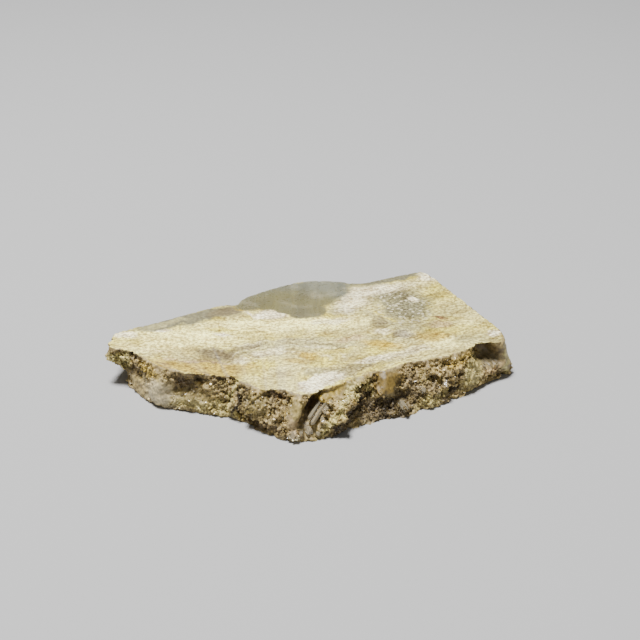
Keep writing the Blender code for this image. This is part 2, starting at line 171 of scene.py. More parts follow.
class Bench:
    """A node tree under construction."""

    def __init__(self, tree: bpy.types.NodeTree) -> None:
        """Holds the tree, cleared of its nodes."""
        self.tree = tree
        tree.nodes.clear()

    def node(self, kind: str, settings: dict[str, object], inputs: dict[str | int, Value]) -> bpy.types.Node:
        """Adds a node.

        Args:
            kind: The node's type.
            settings: Its own properties, which are set first.
            inputs: A value or a wire for each socket, by name or number.

        Returns:
            The node.
        """
        made = self.tree.nodes.new(kind)
        for name, value in settings.items():
            setattr(made, name, value)
        for key, value in inputs.items():
            if isinstance(value, Wire):
                self.tree.links.new(value.socket, made.inputs[key])
            else:
                made.inputs[key].default_value = value
        return made

    def wire(
        self, kind: str, settings: dict[str, object], inputs: dict[str | int, Value], output: str | int = 0
    ) -> Wire:
        """Adds a node and returns one of its outputs as a wire."""
        return Wire(self, self.node(kind, settings, inputs).outputs[output])

    def blend(self, share: Wire | float, under: Wire | Colour, over: Wire | Colour) -> Wire:
        """One colour over another, which shows through where the share is below 1."""
        return self.wire("ShaderNodeMix", {"data_type": "RGBA"}, {0: share, 6: under, 7: over}, 2)

    def multiply(self, colour: Wire, tint: Wire | Colour, share: Wire | float = 1.0) -> Wire:
        """A colour darkened by a tint."""
        settings = {"data_type": "RGBA", "blend_type": "MULTIPLY"}
        return self.wire("ShaderNodeMix", settings, {0: share, 6: colour, 7: tint}, 2)

    def vector(self, operation: str, *values: Wire | tuple) -> Wire:
        """A Vector Math node's vector."""
        return self.wire("ShaderNodeVectorMath", {"operation": operation}, dict(enumerate(values)))

    def length(self, place: Wire) -> Wire:
        """A vector's length."""
        return self.wire("ShaderNodeVectorMath", {"operation": "LENGTH"}, {0: place}, "Value")

    def joined(self, x: Wire | float, y: Wire | float, z: Wire | float) -> Wire:
        """A vector from three numbers."""
        return self.wire("ShaderNodeCombineXYZ", {}, {0: x, 1: y, 2: z})

    def split(self, kind: str, whole: Wire) -> tuple[Wire, ...]:
        """All that a node which takes something apart gives."""
        return tuple(Wire(self, output) for output in self.node(kind, {}, {0: whole}).outputs)

    def parts(self, place: Wire) -> tuple[Wire, ...]:
        """A vector's three numbers."""
        return self.split("ShaderNodeSeparateXYZ", place)

    def noise(self, place: Wire, cloud: "Cloud") -> Wire:
        """A cloud's noise, from about 0 to 1."""
        layers = {"Detail": cloud.detail, "Roughness": cloud.coarse}
        return self.wire("ShaderNodeTexNoise", {}, {"Vector": place, "Scale": 1.0 / cloud.size, **layers})

    def drift(self, place: Wire, *drifts: "Drift") -> Wire:
        """A place pushed about by noise, once for each drift.

        The renderer works through a tree in the order of its nodes, apart from those that wait for a colour
        turned into a vector. Taking the colour apart keeps that order, so that few results are held at once.

        Args:
            place: The place, in millimetres.
            drifts: How coarse the noise is and how far it pushes.

        Returns:
            The pushed place.
        """
        for drift in drifts:
            inputs = {"Vector": place, "Scale": 1.0 / drift.size, "Detail": drift.detail}
            colour = self.wire("ShaderNodeTexNoise", {}, inputs, "Color")
            push = self.joined(*self.split("ShaderNodeSeparateColor", colour))
            centred = {0: self.vector("SUBTRACT", push, (0.5, 0.5, 0.5)), "Scale": drift.reach * 2.0}
            moved = self.wire("ShaderNodeVectorMath", {"operation": "SCALE"}, centred)
            place = self.vector("ADD", place, moved)
        return place

    def cells(self, place: Wire, size: float) -> Wire:
        """The distance from the middle of each cell, with cells of about a size in millimetres."""
        inputs = {"Vector": place, "Scale": 1.0 / size}
        return self.wire("ShaderNodeTexVoronoi", {}, inputs, "Distance")

    def measure(self, name: str) -> Wire:
        """A number stored on the mesh."""
        return self.wire("ShaderNodeAttribute", {"attribute_name": name}, {}, "Fac")

    def bump(self, height: Wire, strength: float, depth: float) -> Wire:
        """A normal bent by a relief with a depth in millimetres."""
        inputs = {"Strength": strength, "Distance": depth * MM, "Height": height}
        return self.wire("ShaderNodeBump", {}, inputs)


@dataclass(frozen=True)
class Cloud:
    """A noise: its size in millimetres, how many finer layers it has and how strong they are."""

    size: float
    detail: float = 2.0
    coarse: float = 0.5


@dataclass(frozen=True)
class Drift:
    """A push by noise: the noise's size and how far it pushes, in millimetres, and its finer layers."""

    size: float
    reach: float
    detail: float = 2.0


@dataclass(frozen=True)
class Grit:
    """How a noise lightens a colour at its peaks and darkens it in its dips."""

    light: Tint  # what the colour is multiplied by
    dark: Tint
    peaks: tuple[float, float]  # the noise at which the light marks start, and at which they are full
    dips: tuple[float, float]
    light_share: float
    dark_share: float

    def lay(self, bench: Bench, colour: Wire, noise: Wire, within: Wire | float = 1.0) -> Wire:
        """Marks a colour.

        Args:
            bench: Where the nodes go.
            colour: The colour below.
            noise: The noise that the marks follow.
            within: A mask that they show in.

        Returns:
            The marked colour.
        """
        lit = noise.rise(*self.peaks) * self.light_share * within
        colour = bench.multiply(colour, (*self.light, 1.0), lit)
        dim = noise.rise(*self.dips) * self.dark_share * within
        return bench.multiply(colour, (*self.dark, 1.0), dim)


@dataclass(frozen=True)
class Oval:
    """A soft-edged oval, at a place on the plan or, for the wall, at plan x and height z."""

    x: float
    y: float
    wide: float
    high: float
    turn: float = 0.0  # degrees, anticlockwise
    soft: float = 0.4  # share of its reach over which it fades, inwards and outwards

    def mask(self, bench: Bench, place: Wire, upright: bool = False) -> Wire:
        """How strongly the oval shows.

        Args:
            bench: Where its nodes go.
            place: Where it is read, in millimetres.
            upright: Whether it lies on the wall, in x and z, rather than on the plan.

        Returns:
            A number from 0 to 1.
        """
        depth = 1.0 / MM
        turn = math.radians(self.turn)
        wide, high = self.wide * (1.0 + self.soft), self.high * (1.0 + self.soft)
        if upright:
            inputs = {1: (self.x, 0.0, self.y), 2: (0.0, -turn, 0.0), 3: (wide, depth, high)}
        else:
            inputs = {1: (self.x, self.y, 0.0), 2: (0.0, 0.0, turn), 3: (wide, high, depth)}
        local = bench.wire("ShaderNodeMapping", {"vector_type": "TEXTURE"}, {0: place, **inputs})
        # A texture node takes a mapped place as it is. A Vector Math node has it turned into a vector first,
        # which the renderer puts off, and so many waiting places are more than it can hold.
        inwards = bench.wire("ShaderNodeTexGradient", {"gradient_type": "SPHERICAL"}, {0: local}, "Fac")
        return inwards.rise(0.0, 2.0 * self.soft / (1.0 + self.soft))


@dataclass(frozen=True)
class Patch:
    """An oval of colour."""

    x: float
    y: float
    wide: float
    high: float
    tone: Tone
    strength: float = 0.8
    turn: float = 0.0
    soft: float = 0.4

    def share(self, bench: Bench, place: Wire, upright: bool) -> Wire:
        """How much of its colour shows, from 0 to 1."""
        oval = Oval(self.x, self.y, self.wide, self.high, self.turn, self.soft)
        return oval.mask(bench, place, upright) * self.strength


# Where light passes into the clear grey bands, and where the clear smoky lens lies at the back.
VEILS = (
    Oval(-19.8, 6.8, 9.8, 2.2, 25, 0.2),
    Oval(13.6, 21.8, 7.8, 2.0, 24, 0.2),
    Oval(-13.2, 9.4, 2.8, 1.8, 30, 0.3),
)
LENS = (
    Oval(-5.4, 15.0, 8.1, 5.0, 26, 0.1),
    Oval(1.6, 16.4, 8.2, 4.6, 62, 0.22),
    Oval(-2.2, 11.0, 5.4, 3.2, -16, 0.07),
    Oval(-0.5, 8.9, 2.9, 2.8, 10, 0.16),
)
SPECKLED = (Oval(15.2, 10.6, 4.8, 6.2, 14),)

BANDS = (
    # Bright cream across the left and the middle.
    Patch(-26.5, -2.6, 5.0, 2.6, Tone.PALE, 0.6),
    Patch(-19.5, -0.4, 8.5, 3.4, Tone.PALE, 1.0, -4, 0.5),
    Patch(-11.0, 3.4, 6.5, 2.6, Tone.PALE, 0.85),
    Patch(-3.0, 4.7, 11.0, 2.2, Tone.PALE, 1.0, 3),
    Patch(7.0, 5.4, 3.0, 1.8, Tone.PALE, 0.9, 30),
    Patch(-8.0, 1.0, 6.0, 1.0, Tone.BUTTER, 0.5, -4),
    Patch(-15.0, -6.8, 5.6, 2.6, Tone.SAND, 0.6, -12),
    # The greyer middle with its dark granular spots.
    Patch(2.0, -2.0, 13.0, 1.8, Tone.MIST, 0.7, 3),
    Patch(-14.6, -5.7, 3.4, 1.8, Tone.GREY_SAND, 0.9, -14),
    Patch(-16.5, -8.2, 3.2, 1.0, Tone.SAND, 0.7),
    Patch(-9.4, -3.2, 2.5, 0.9, Tone.GREY_SAND, 0.85, 26),
    Patch(-9.6, -5.4, 1.8, 0.9, Tone.VEIL, 0.5, 10),
    Patch(-6.2, -5.2, 2.8, 1.2, Tone.CHALK, 0.5, 26),
    Patch(-10.0, -8.0, 2.2, 0.8, Tone.CHALK, 0.4, -8),
    Patch(-1.6, -4.9, 2.6, 1.0, Tone.SAND, 0.6, 8),
    Patch(6.2, -0.8, 2.6, 0.9, Tone.ROSE, 0.7, 20),
    # Below them, towards the front corner.
    Patch(-9.6, -11.4, 3.0, 1.2, Tone.SAND, 0.45),
    Patch(-2.4, -11.0, 4.0, 1.3, Tone.CREAM, 0.5, -4),
    Patch(2.4, -8.9, 2.4, 0.9, Tone.BUTTER, 0.8, 12),
    Patch(2.6, -11.4, 3.2, 1.0, Tone.MIST, 0.8, 14),
    Patch(7.2, -10.2, 3.6, 1.0, Tone.GREY_SAND, 0.65, 30),
    Patch(10.2, -7.6, 2.6, 0.8, Tone.CHALK, 0.7, 28),
    Patch(15.0, -5.4, 8.0, 1.1, Tone.CHALK, 0.45, 24),
    Patch(22.0, -1.9, 3.4, 1.5, Tone.PALE, 0.85, 10),
    Patch(26.6, -0.6, 3.4, 2.0, Tone.MIST, 0.75, 12),
    Patch(22.6, -4.8, 3.2, 0.9, Tone.SAND, 0.5, 14),
    Patch(27.6, 2.4, 3.2, 2.2, Tone.PALE, 0.35, 20),
    Patch(1.9, -14.6, 4.2, 1.8, Tone.CHALK, 1.0, 42, 0.25),
    Patch(-5.4, -14.6, 2.4, 1.4, Tone.CREAM, 0.6),
    # Yellow and reddish spots.
    Patch(-14.5, 2.6, 2.4, 0.8, Tone.BUTTER, 0.9, -6),
    Patch(-27.8, -1.8, 2.2, 0.9, Tone.BUTTER, 0.6, -6),
    Patch(21.6, 6.7, 1.2, 0.6, Tone.RUST, 0.85, -8),
    Patch(21.6, 4.4, 1.8, 1.3, Tone.ROSE, 0.8),
    # The speckled grey patch and the grey that runs on from it.
    Patch(14.8, 10.6, 9.4, 7.4, Tone.VEIL, 0.34, 108, 0.5),
    Patch(15.6, 12.0, 6.4, 4.4, Tone.VEIL, 0.9, 108, 0.35),
    Patch(15.4, 3.9, 4.8, 1.8, Tone.MIST, 0.7, 4),
    Patch(11.4, 5.4, 1.5, 2.0, Tone.GREY_SAND, 0.7, 10),
    Patch(11.0, 10.2, 1.6, 3.0, Tone.CREAM, 0.5),
    Patch(6.2, 9.8, 1.5, 1.4, Tone.VEIL, 0.8, 10),
    # Chalky white.
    Patch(12.0, 1.8, 1.9, 1.0, Tone.CHALK, 0.6, -6, 0.4),
    Patch(15.6, 1.0, 1.6, 1.5, Tone.LILAC, 0.7, 20),
    Patch(-23.8, 2.7, 2.1, 0.8, Tone.CHALK, 1.0, -8),
    Patch(-14.0, 0.7, 1.5, 0.5, Tone.CHALK, 1.0, -8),
    Patch(29.9, 1.4, 1.2, 0.9, Tone.CHALK, 1.0),
    Patch(-29.8, 0.9, 1.9, 1.0, Tone.CHALK, 0.8, -10),
    # The back: white fringes about the lens and grey translucent bands.
    Patch(5.4, 9.6, 2.2, 1.8, Tone.MIST, 0.8, 30),
    Patch(7.2, 13.0, 2.3, 4.8, Tone.CHALK, 0.7, -20, 0.5),
    Patch(11.0, 17.2, 5.0, 1.8, Tone.CHALK, 0.75, 18, 0.5),
    Patch(-6.2, 8.0, 3.2, 1.6, Tone.CHALK, 1.0, 20, 0.3),
    Patch(3.6, 5.6, 3.4, 0.9, Tone.CHALK, 0.6, 14),
    Patch(17.4, 19.4, 5.6, 1.7, Tone.CHALK, 0.4, 26, 0.5),
    Patch(20.6, 22.4, 1.5, 1.9, Tone.CHALK, 0.85, 30),
    Patch(17.9, 13.6, 0.8, 1.0, Tone.CHALK, 1.0),
    Patch(13.6, 22.2, 7.6, 1.7, Tone.VEIL, 1.0, 24, 0.25),
    Patch(-19.8, 6.4, 9.4, 1.9, Tone.VEIL, 1.0, 25, 0.25),
    Patch(-13.6, 9.0, 3.4, 1.5, Tone.GREY_SAND, 0.9, 28, 0.5),
    Patch(-23.4, 4.6, 4.0, 0.8, Tone.MIST, 0.8, 24),
    Patch(-14.0, 11.5, 1.7, 0.8, Tone.MIST, 0.9, 25),
)

AMBER = (
    Patch(11.5, -2.5, 3.0, 1.3, Tone.HONEY, 0.9, -12, 0.6),
    Patch(20.0, 0.2, 2.7, 1.5, Tone.HONEY, 0.65, 4, 0.6),
    Patch(21.2, 0.4, 1.1, 1.3, Tone.OCHRE, 0.7, 0, 0.5),
    Patch(0.3, -6.3, 2.2, 1.2, Tone.HONEY, 0.9, -36),
    Patch(-1.4, -8.2, 2.2, 0.9, Tone.OCHRE, 0.8, -12),
    Patch(4.8, -4.9, 3.4, 0.9, Tone.BUTTER, 0.8, 20),
    Patch(-12.8, -11.9, 2.0, 1.1, Tone.HONEY, 0.75, -10),
    Patch(-16.5, -10.4, 7.2, 1.7, Tone.OCHRE, 0.95, -10),
    Patch(-11.0, -9.8, 4.2, 0.5, Tone.OCHRE, 0.8, -4),
    Patch(-22.6, -9.0, 2.6, 1.2, Tone.OCHRE, 0.75, -34),
)

VEINS = (
    Patch(-11.4, 9.8, 1.7, 0.36, Tone.OCHRE, 1.0, -38),
    Patch(-9.9, 7.9, 1.6, 0.3, Tone.CHALK, 0.95, -62),
    Patch(-17.0, -8.3, 7.5, 0.26, Tone.ROSE, 0.85, -8),
    Patch(11.7, 8.2, 1.8, 0.22, Tone.BUTTER, 1.0, -58),
    Patch(13.2, 6.4, 1.4, 0.2, Tone.BUTTER, 1.0, -28),
    Patch(-24.6, -4.6, 3.0, 0.25, Tone.ROSE, 0.6, -8),
    Patch(8.3, -10.9, 5.0, 0.16, Tone.UMBER, 0.8, 32),
    Patch(15.2, -7.4, 5.0, 0.15, Tone.UMBER, 0.75, 27),
    Patch(8.8, -11.6, 6.4, 0.34, Tone.BUTTER, 0.85, 34),
    Patch(14.0, -6.2, 5.6, 0.14, Tone.GREY_SAND, 0.8, 25),
    Patch(9.0, -9.9, 5.6, 0.2, Tone.GREY_SAND, 0.7, 33),
    Patch(-2.6, -1.0, 5.0, 0.22, Tone.GREY_SAND, 0.6, 4),
    Patch(22.4, 0.2, 0.25, 1.3, Tone.SYRUP, 0.8, -12),
)

STAINS_AND_SHADE = (
    # The left tip, its undercut and the smooth facets below.
    # Painted shade in the slit and the hole in the tip.
    Patch(-29.0, 5.6, 1.9, 0.3, Tone.EARTH, 1.0, 24, 0.3),
    Patch(-29.3, 3.8, 1.0, 0.45, Tone.EARTH, 1.0, 6, 0.3),
    Patch(-30.2, 4.6, 2.2, 1.6, Tone.CREAM, 0.8),
    # Painted shadow under the tip's ledge.
    Patch(-27.3, 3.9, 2.2, 0.6, Tone.UMBER, 0.6, 30),
    Patch(-26.6, 1.4, 3.0, 1.7, Tone.TAN, 0.75),
    Patch(-24.6, 5.2, 1.7, 1.0, Tone.OCHRE, 0.6),
    # The left wall.
    # Painted light: the facet under the overhang made paler.
    Patch(-22.8, 2.3, 2.4, 2.4, Tone.CHALK, 0.4),
    # Painted shade under the rim, and darker under the brow.
    Patch(-16.4, 5.9, 5.0, 0.6, Tone.FAWN, 0.8),
    Patch(-19.1, 4.2, 1.7, 1.3, Tone.UMBER, 0.7, -40),
    Patch(-17.6, 2.2, 3.6, 1.6, Tone.SAND, 0.6),
    Patch(-15.6, 1.2, 5.2, 1.1, Tone.CREAM, 0.6),
    Patch(-11.3, 3.9, 0.36, 3.2, Tone.CREAM, 0.85, -25, 0.3),
    # Painted shade in the crack beside the vein.
    Patch(-10.3, 3.4, 0.3, 3.0, Tone.EARTH, 0.95, -25),
    # The middle.
    Patch(-7.6, 4.4, 2.0, 1.5, Tone.OLIVE, 0.75),
    # Painted shade in the undercut at the foot.
    Patch(-6.6, 1.0, 3.0, 0.7, Tone.UMBER, 0.75),
    # Painted shade in the pits under the rim.
    Patch(-3.9, 5.6, 1.8, 0.5, Tone.UMBER, 0.85, -20),
    Patch(-1.5, 4.3, 1.1, 1.2, Tone.SAND, 0.8),
    Patch(-2.1, 2.4, 0.9, 0.9, Tone.ROSE, 0.85),
    Patch(-1.8, 0.9, 0.8, 0.9, Tone.CHALK, 0.9),
    # Painted shadow in the notch by the crystals.
    Patch(0.7, 4.4, 0.9, 1.7, Tone.UMBER, 1.0, -36, 0.25),
    # The long ridge with its amber ledge.
    Patch(3.7, 5.9, 2.8, 0.6, Tone.OCHRE, 0.7, 12),
    Patch(4.4, 3.4, 4.2, 0.7, Tone.CREAM, 0.85, 44),
    # Painted shade under the ridge.
    Patch(6.4, 2.2, 3.2, 1.1, Tone.EARTH, 0.8, 40),
    Patch(8.0, 5.4, 2.0, 0.6, Tone.CREAM, 0.75, 6),
    Patch(9.6, 4.3, 0.3, 1.2, Tone.CREAM, 0.7, 38),
    # The lens on the wall and the painted shade under it.
    Patch(12.1, 5.2, 2.6, 1.7, Tone.SYRUP, 0.95, 0, 0.25),
    Patch(12.6, 1.6, 4.4, 1.7, Tone.EARTH, 0.7, 4),
    # The right wall and its end hollow.
    Patch(19.4, 1.4, 3.0, 0.8, Tone.CREAM, 0.6, 8),
    # Painted shade in a small hollow near the foot.
    Patch(22.9, 1.3, 1.3, 0.4, Tone.EARTH, 0.8, 30),
    Patch(26.1, 2.9, 1.8, 2.4, Tone.CREAM, 0.6),
    Patch(24.0, 5.6, 2.6, 0.8, Tone.OCHRE, 0.55, 6),
    # Painted shadow under the end hollow's brow.
    Patch(28.9, 5.4, 2.6, 1.0, Tone.UMBER, 0.7, -16, 0.3),
    Patch(29.3, 3.7, 2.0, 1.0, Tone.GREY_SAND, 0.95),
    Patch(29.8, 2.3, 1.8, 0.5, Tone.ROSE, 0.8, 14),
    Patch(31.8, 3.2, 0.5, 3.2, Tone.CREAM, 0.9),
)


@dataclass(frozen=True)
class Quiet:
    """A part of the front wall that broke smooth, at plan x and height z."""

    x: float
    z: float
    wide: float
    high: float
    calm: float


QUIET = (
    Quiet(-26.6, 1.6, 2.8, 1.8, 0.7),
    Quiet(-22.8, 2.6, 2.0, 2.8, 0.85),
    Quiet(-17.6, 3.2, 3.6, 3.2, 0.5),
    Quiet(-7.6, 4.4, 1.8, 1.6, 0.35),
    Quiet(-1.5, 4.3, 1.2, 1.5, 0.9),
    Quiet(-2.1, 2.4, 0.9, 1.0, 0.7),
    Quiet(0.7, 4.3, 1.2, 2.0, 0.8),
    Quiet(3.9, 5.9, 2.8, 0.8, 0.9),
    Quiet(12.5, 4.9, 1.8, 1.9, 0.95),
    Quiet(26.2, 2.8, 1.6, 2.4, 0.5),
    Quiet(29.3, 4.6, 2.2, 2.2, 0.9),
    Quiet(31.9, 3.2, 1.1, 4.5, 0.85),
    Quiet(0.4, 1.9, 1.5, 1.6, 0.85),
)


class RockPaint:
    """The rock's bands and patches, as nodes that read the object's own coordinates."""

    LINE_RUN = 0.3  # how slowly the fine bands change along their length
    LINE_DROP = 0.25  # and how slowly they change downwards
    BOW_MIDDLE, BOW_ROUND, BOW_RISE, BOW_TILT = 7.0, 36.0, 0.32, 0.13
    BOW_SWAY = (Drift(4.0, 0.8), Drift(1.3, 0.42, 3.0))
    RAGGED = (Drift(4.2, 1.5), Drift(1.3, 0.9, 3.0), Drift(0.4, 0.3))
    LENS_EDGE = (Drift(2.6, 1.1, 1.0), Drift(0.8, 0.6, 3.0))
    CLEAR_CALM = 0.55  # how much of the grit the clear bands lose

    BLOTCHES = Cloud(6.0, 3.0)
    MOTTLES = Cloud(1.9, 4.0, 0.62)
    MOTTLE = Grit((1.22, 1.23, 1.2), (0.62, 0.56, 0.44), (0.52, 0.62), (0.5, 0.38), 1.0, 0.75)
    LINES = Cloud(0.56, 2.0, 0.6)
    LINE = Grit((1.3, 1.3, 1.32), (0.56, 0.5, 0.38), (0.52, 0.62), (0.47, 0.37), 0.8, 0.85)
    LINED, LINED_SHIFT = Cloud(2.6), (9.0, 2.0, 5.0)  # where the fine lines show at all
    SUGARS = Cloud(0.5, 2.0, 0.6)
    SUGAR = Grit((1.55, 1.57, 1.5), (0.56, 0.5, 0.4), (0.51, 0.6), (0.48, 0.4), 1.0, 0.9)

    ARCH = (-3.2, -8.6, 12.0, 7.2)  # the middle of the domed bands and their reach along and across
    ARCH_STRIPES, ARCH_COUNT, ARCH_SHEAR = Cloud(0.9, 2.0, 0.6), 9.5, 0.05
    ARCH_PALE, ARCH_GREY = 0.5, 0.65
    DOT_SWAY, DOT_SIZE, DOT_SHARE = Drift(0.9, 0.5, 3.0), 0.8, 0.7

    LENS_CLOUDS, LENS_WISPS, WISP_SHARE = Cloud(5.0, 2.0, 0.45), Cloud(3.4, 3.0, 0.55), 0.16
    RIM_BOW, RIM_MIDDLE, RIM_SHARE = 0.06, 3.0, 0.75

    def __init__(self, bench: Bench) -> None:
        """Lays out the coordinates that the patterns share."""
        self.bench = bench
        raw = bench.wire("ShaderNodeTexCoord", {}, {}, "Object")
        place = {0: raw, 1: tuple(-PLAN_ZERO), 3: (1.0 / MM,) * 3}
        self.plan = bench.wire("ShaderNodeMapping", {"vector_type": "POINT"}, place)
        self.x, self.y, self.z = bench.parts(self.plan)
        self.ragged = bench.drift(self.plan, *self.RAGGED)
        self.band = self.band_height()
        self.calm = 1.0 - self.veiled() * self.CLEAR_CALM

    def band_height(self) -> Wire:
        """How far up the sequence of bands a place lies: they sag in a bow across the slab."""
        x, y, _ = self.bench.parts(self.bench.drift(self.plan, *self.BOW_SWAY))
        along = x + self.BOW_MIDDLE
        bow = (along * along + self.BOW_ROUND) ** 0.5 * self.BOW_RISE + along * self.BOW_TILT
        return y - bow

    def overlay(
        self, colour: Wire, patches: Sequence[Patch], place: Wire, only: Wire | None = None
    ) -> Wire:
        """Lays patches over a colour, one after another.

        Args:
            colour: The colour below.
            patches: The patches, the first lowest.
            place: Where they are read, in millimetres.
            only: A mask that they show in; the patches are then the wall's.

        Returns:
            The colour with the patches.
        """
        for patch in patches:
            share = patch.share(self.bench, place, only is not None)
            if only is not None:
                share = share * only
            colour = self.bench.blend(share, colour, patch.tone.value)
        return colour

    def covered(self, ovals: Sequence[Oval], place: Wire) -> Wire:
        """How strongly any of these ovals shows."""
        first, *others = (oval.mask(self.bench, place) for oval in ovals)
        for other in others:
            first = first.larger(other)
        return first

    def streaks(self, cloud: Cloud) -> Wire:
        """Streaks that follow the bands, from 0 to 1."""
        place = self.bench.joined(self.x * self.LINE_RUN, self.band, self.z * self.LINE_DROP)
        return self.bench.noise(place, cloud)

    def lens(self) -> Wire:
        """Where the clear smoky lens lies at the back, with its jagged edge."""
        return self.covered(LENS, self.bench.drift(self.plan, *self.LENS_EDGE))

    def veiled(self) -> Wire:
        """How clear and grey the rock is: the bands along the back that light passes into."""
        return self.covered(VEILS, self.ragged)

    def rock(self) -> Wire:
        """The colour of the sawn rock."""
        bench = self.bench
        blotch = bench.noise(self.plan, self.BLOTCHES)
        colour = bench.blend(blotch.rise(0.42, 0.66), Tone.CREAM.value, Tone.BUTTER.value)
        colour = self.overlay(colour, BANDS, self.ragged)
        colour = self.arches(colour)
        colour = self.overlay(colour, AMBER, self.ragged)
        colour = self.overlay(colour, VEINS, self.ragged)
        return self.speckle(self.gritty(colour))

    def gritty(self, colour: Wire) -> Wire:
        """Adds cloudy blotches and fine streaks along the bands, and the sugary grain all over."""
        bench = self.bench
        cloud = bench.noise(bench.joined(self.x * 0.5, self.band, self.z), self.MOTTLES)
        colour = self.MOTTLE.lay(bench, colour, cloud, self.calm)
        lined = bench.noise(bench.vector("ADD", self.plan, self.LINED_SHIFT), self.LINED)
        here = lined.rise(0.36, 0.6) * self.calm
        colour = self.LINE.lay(bench, colour, self.streaks(self.LINES), here)
        return self.SUGAR.lay(bench, colour, bench.noise(self.plan, self.SUGARS), self.calm)

    def arches(self, colour: Wire) -> Wire:
        """Domed bands in the middle of the slab, white and grey by turns."""
        bench = self.bench
        x, y, _ = bench.parts(self.ragged)
        middle_x, middle_y, along, across = self.ARCH
        dome = bench.length(bench.joined((x - middle_x) / along, (y - middle_y) / across, 0.0))
        region = dome.rise(1.12, 0.98) * dome.rise(0.3, 0.5) * y.rise(-9.0, -6.0) * x.rise(-14.5, -11.0)
        place = bench.joined(dome * self.ARCH_COUNT, x * self.ARCH_SHEAR, 0.0)
        stripe = bench.noise(place, self.ARCH_STRIPES)
        pale = region * stripe.rise(0.5, 0.62) * self.ARCH_PALE
        colour = bench.blend(pale, colour, Tone.CHALK.value)
        grey = region * stripe.rise(0.48, 0.36) * self.ARCH_GREY
        return bench.blend(grey, colour, Tone.GREY_SAND.value)

    def speckle(self, colour: Wire) -> Wire:
        """White dots on the grey patch to the right of the lens."""
        region = self.covered(SPECKLED, self.ragged)
        dots = self.bench.cells(self.bench.drift(self.plan, self.DOT_SWAY), self.DOT_SIZE).rise(0.42, 0.2)
        return self.bench.blend(region * dots * self.DOT_SHARE, colour, Tone.CHALK.value)

    def smoky(self) -> Wire:
        """The colour inside the lens: olive smoke, greyer towards the back rim and paler there with painted
        light let in at the edge.
        """
        bench = self.bench
        cloud = bench.noise(self.plan, self.LENS_CLOUDS)
        colour = bench.blend(cloud.rise(0.35, 0.7), Tone.SMOKE.value, Tone.VEIL.value)
        # Greyer, and paler with painted light let in at the edge, along the back rim.
        aside = self.x + self.RIM_MIDDLE
        rim = (self.y + aside * aside * self.RIM_BOW).rise(14.5, 20.5)
        colour = bench.blend(rim * self.RIM_SHARE, colour, Tone.STEEL.value)
        wisps = bench.noise(self.plan, self.LENS_WISPS).rise(0.5, 0.75)
        return bench.blend(wisps * self.WISP_SHARE, colour, Tone.CHALK.value)


@dataclass(frozen=True)
class Inside:
    """How light strays under a surface: how much of it, how far in millimetres, and its tint."""

    share: float
    depth: float
    tint: Tint

    def surface(self, bench: Bench, colour: Wire, roughness: Wire, normal: Wire | None = None) -> Wire:
        """A surface of stone with this inside.

        Args:
            bench: Where the nodes go.
            colour: Its colour.
            roughness: Its roughness.
            normal: Its relief, if it has any.

        Returns:
            The shader.
        """
        inputs = {
            "Base Color": colour,
            "Roughness": roughness,
            "IOR": QUARTZ_IOR,
            "Subsurface Weight": self.share,
            "Subsurface Radius": self.tint,
            "Subsurface Scale": self.depth * MM,
        }
        if normal is not None:
            inputs["Normal"] = normal
        return bench.wire("ShaderNodeBsdfPrincipled", {}, inputs)


@dataclass(frozen=True)
class Finish:
    """What every finish of the slice has: a name and a way to make its material."""

    name: str

    def paint(self, bench: Bench) -> Wire:
        """Builds the shader and returns its surface."""
        raise NotImplementedError

    def fill(self, bench: Bench) -> Wire | None:
        """What light meets inside the piece, if anything."""
        return None

    def material(self) -> bpy.types.Material:
        """The finished material, made once.

        Returns:
            The material.
        """
        made = bpy.data.materials.new(self.name)
        made.use_nodes = True
        bench = Bench(made.node_tree)
        ends = {"Surface": self.paint(bench)}
        inside = self.fill(bench)
        if inside is not None:
            ends["Volume"] = inside
        bench.node("ShaderNodeOutputMaterial", {}, ends)
        return made


@dataclass(frozen=True)
class SawnFinish(Finish):
    """The flat sawn faces: matt chalky rock with a clear, waxy lens at the back."""

    name: str = "sawn_rock"
    stone: Inside = Inside(0.1, 0.6, (1.0, 0.8, 0.5))
    lens: Inside = Inside(0.8, 2.6, (1.0, 0.85, 0.6))
    pores: Cloud = Cloud(0.4, 2.0, 0.6)
    pore_share: float = 0.6
    saw_lines: Cloud = Cloud(0.62, 2.0, 0.6)
    saw_share: float = 0.4
    stone_roughness: tuple[float, float] = (0.5, 0.2)  # the least, and what the relief adds
    lens_roughness: tuple[float, float] = (0.24, 0.08)

    def paint(self, bench: Bench) -> Wire:
        """Builds the shader and returns its surface."""
        rock = RockPaint(bench)
        clear = rock.lens()
        pores = bench.noise(rock.plan, self.pores) * self.pore_share
        relief = pores + rock.streaks(self.saw_lines) * self.saw_share
        pitted = bench.bump(relief, 0.6, 0.12)
        least, more = self.stone_roughness
        stone = self.stone.surface(bench, rock.rock(), least + relief * more, pitted)
        faint = bench.bump(relief, 0.1, 0.03)
        least, more = self.lens_roughness
        lens = self.lens.surface(bench, rock.smoky(), least + relief * more, faint)
        return bench.wire("ShaderNodeMixShader", {}, {0: clear, 1: stone, 2: lens})


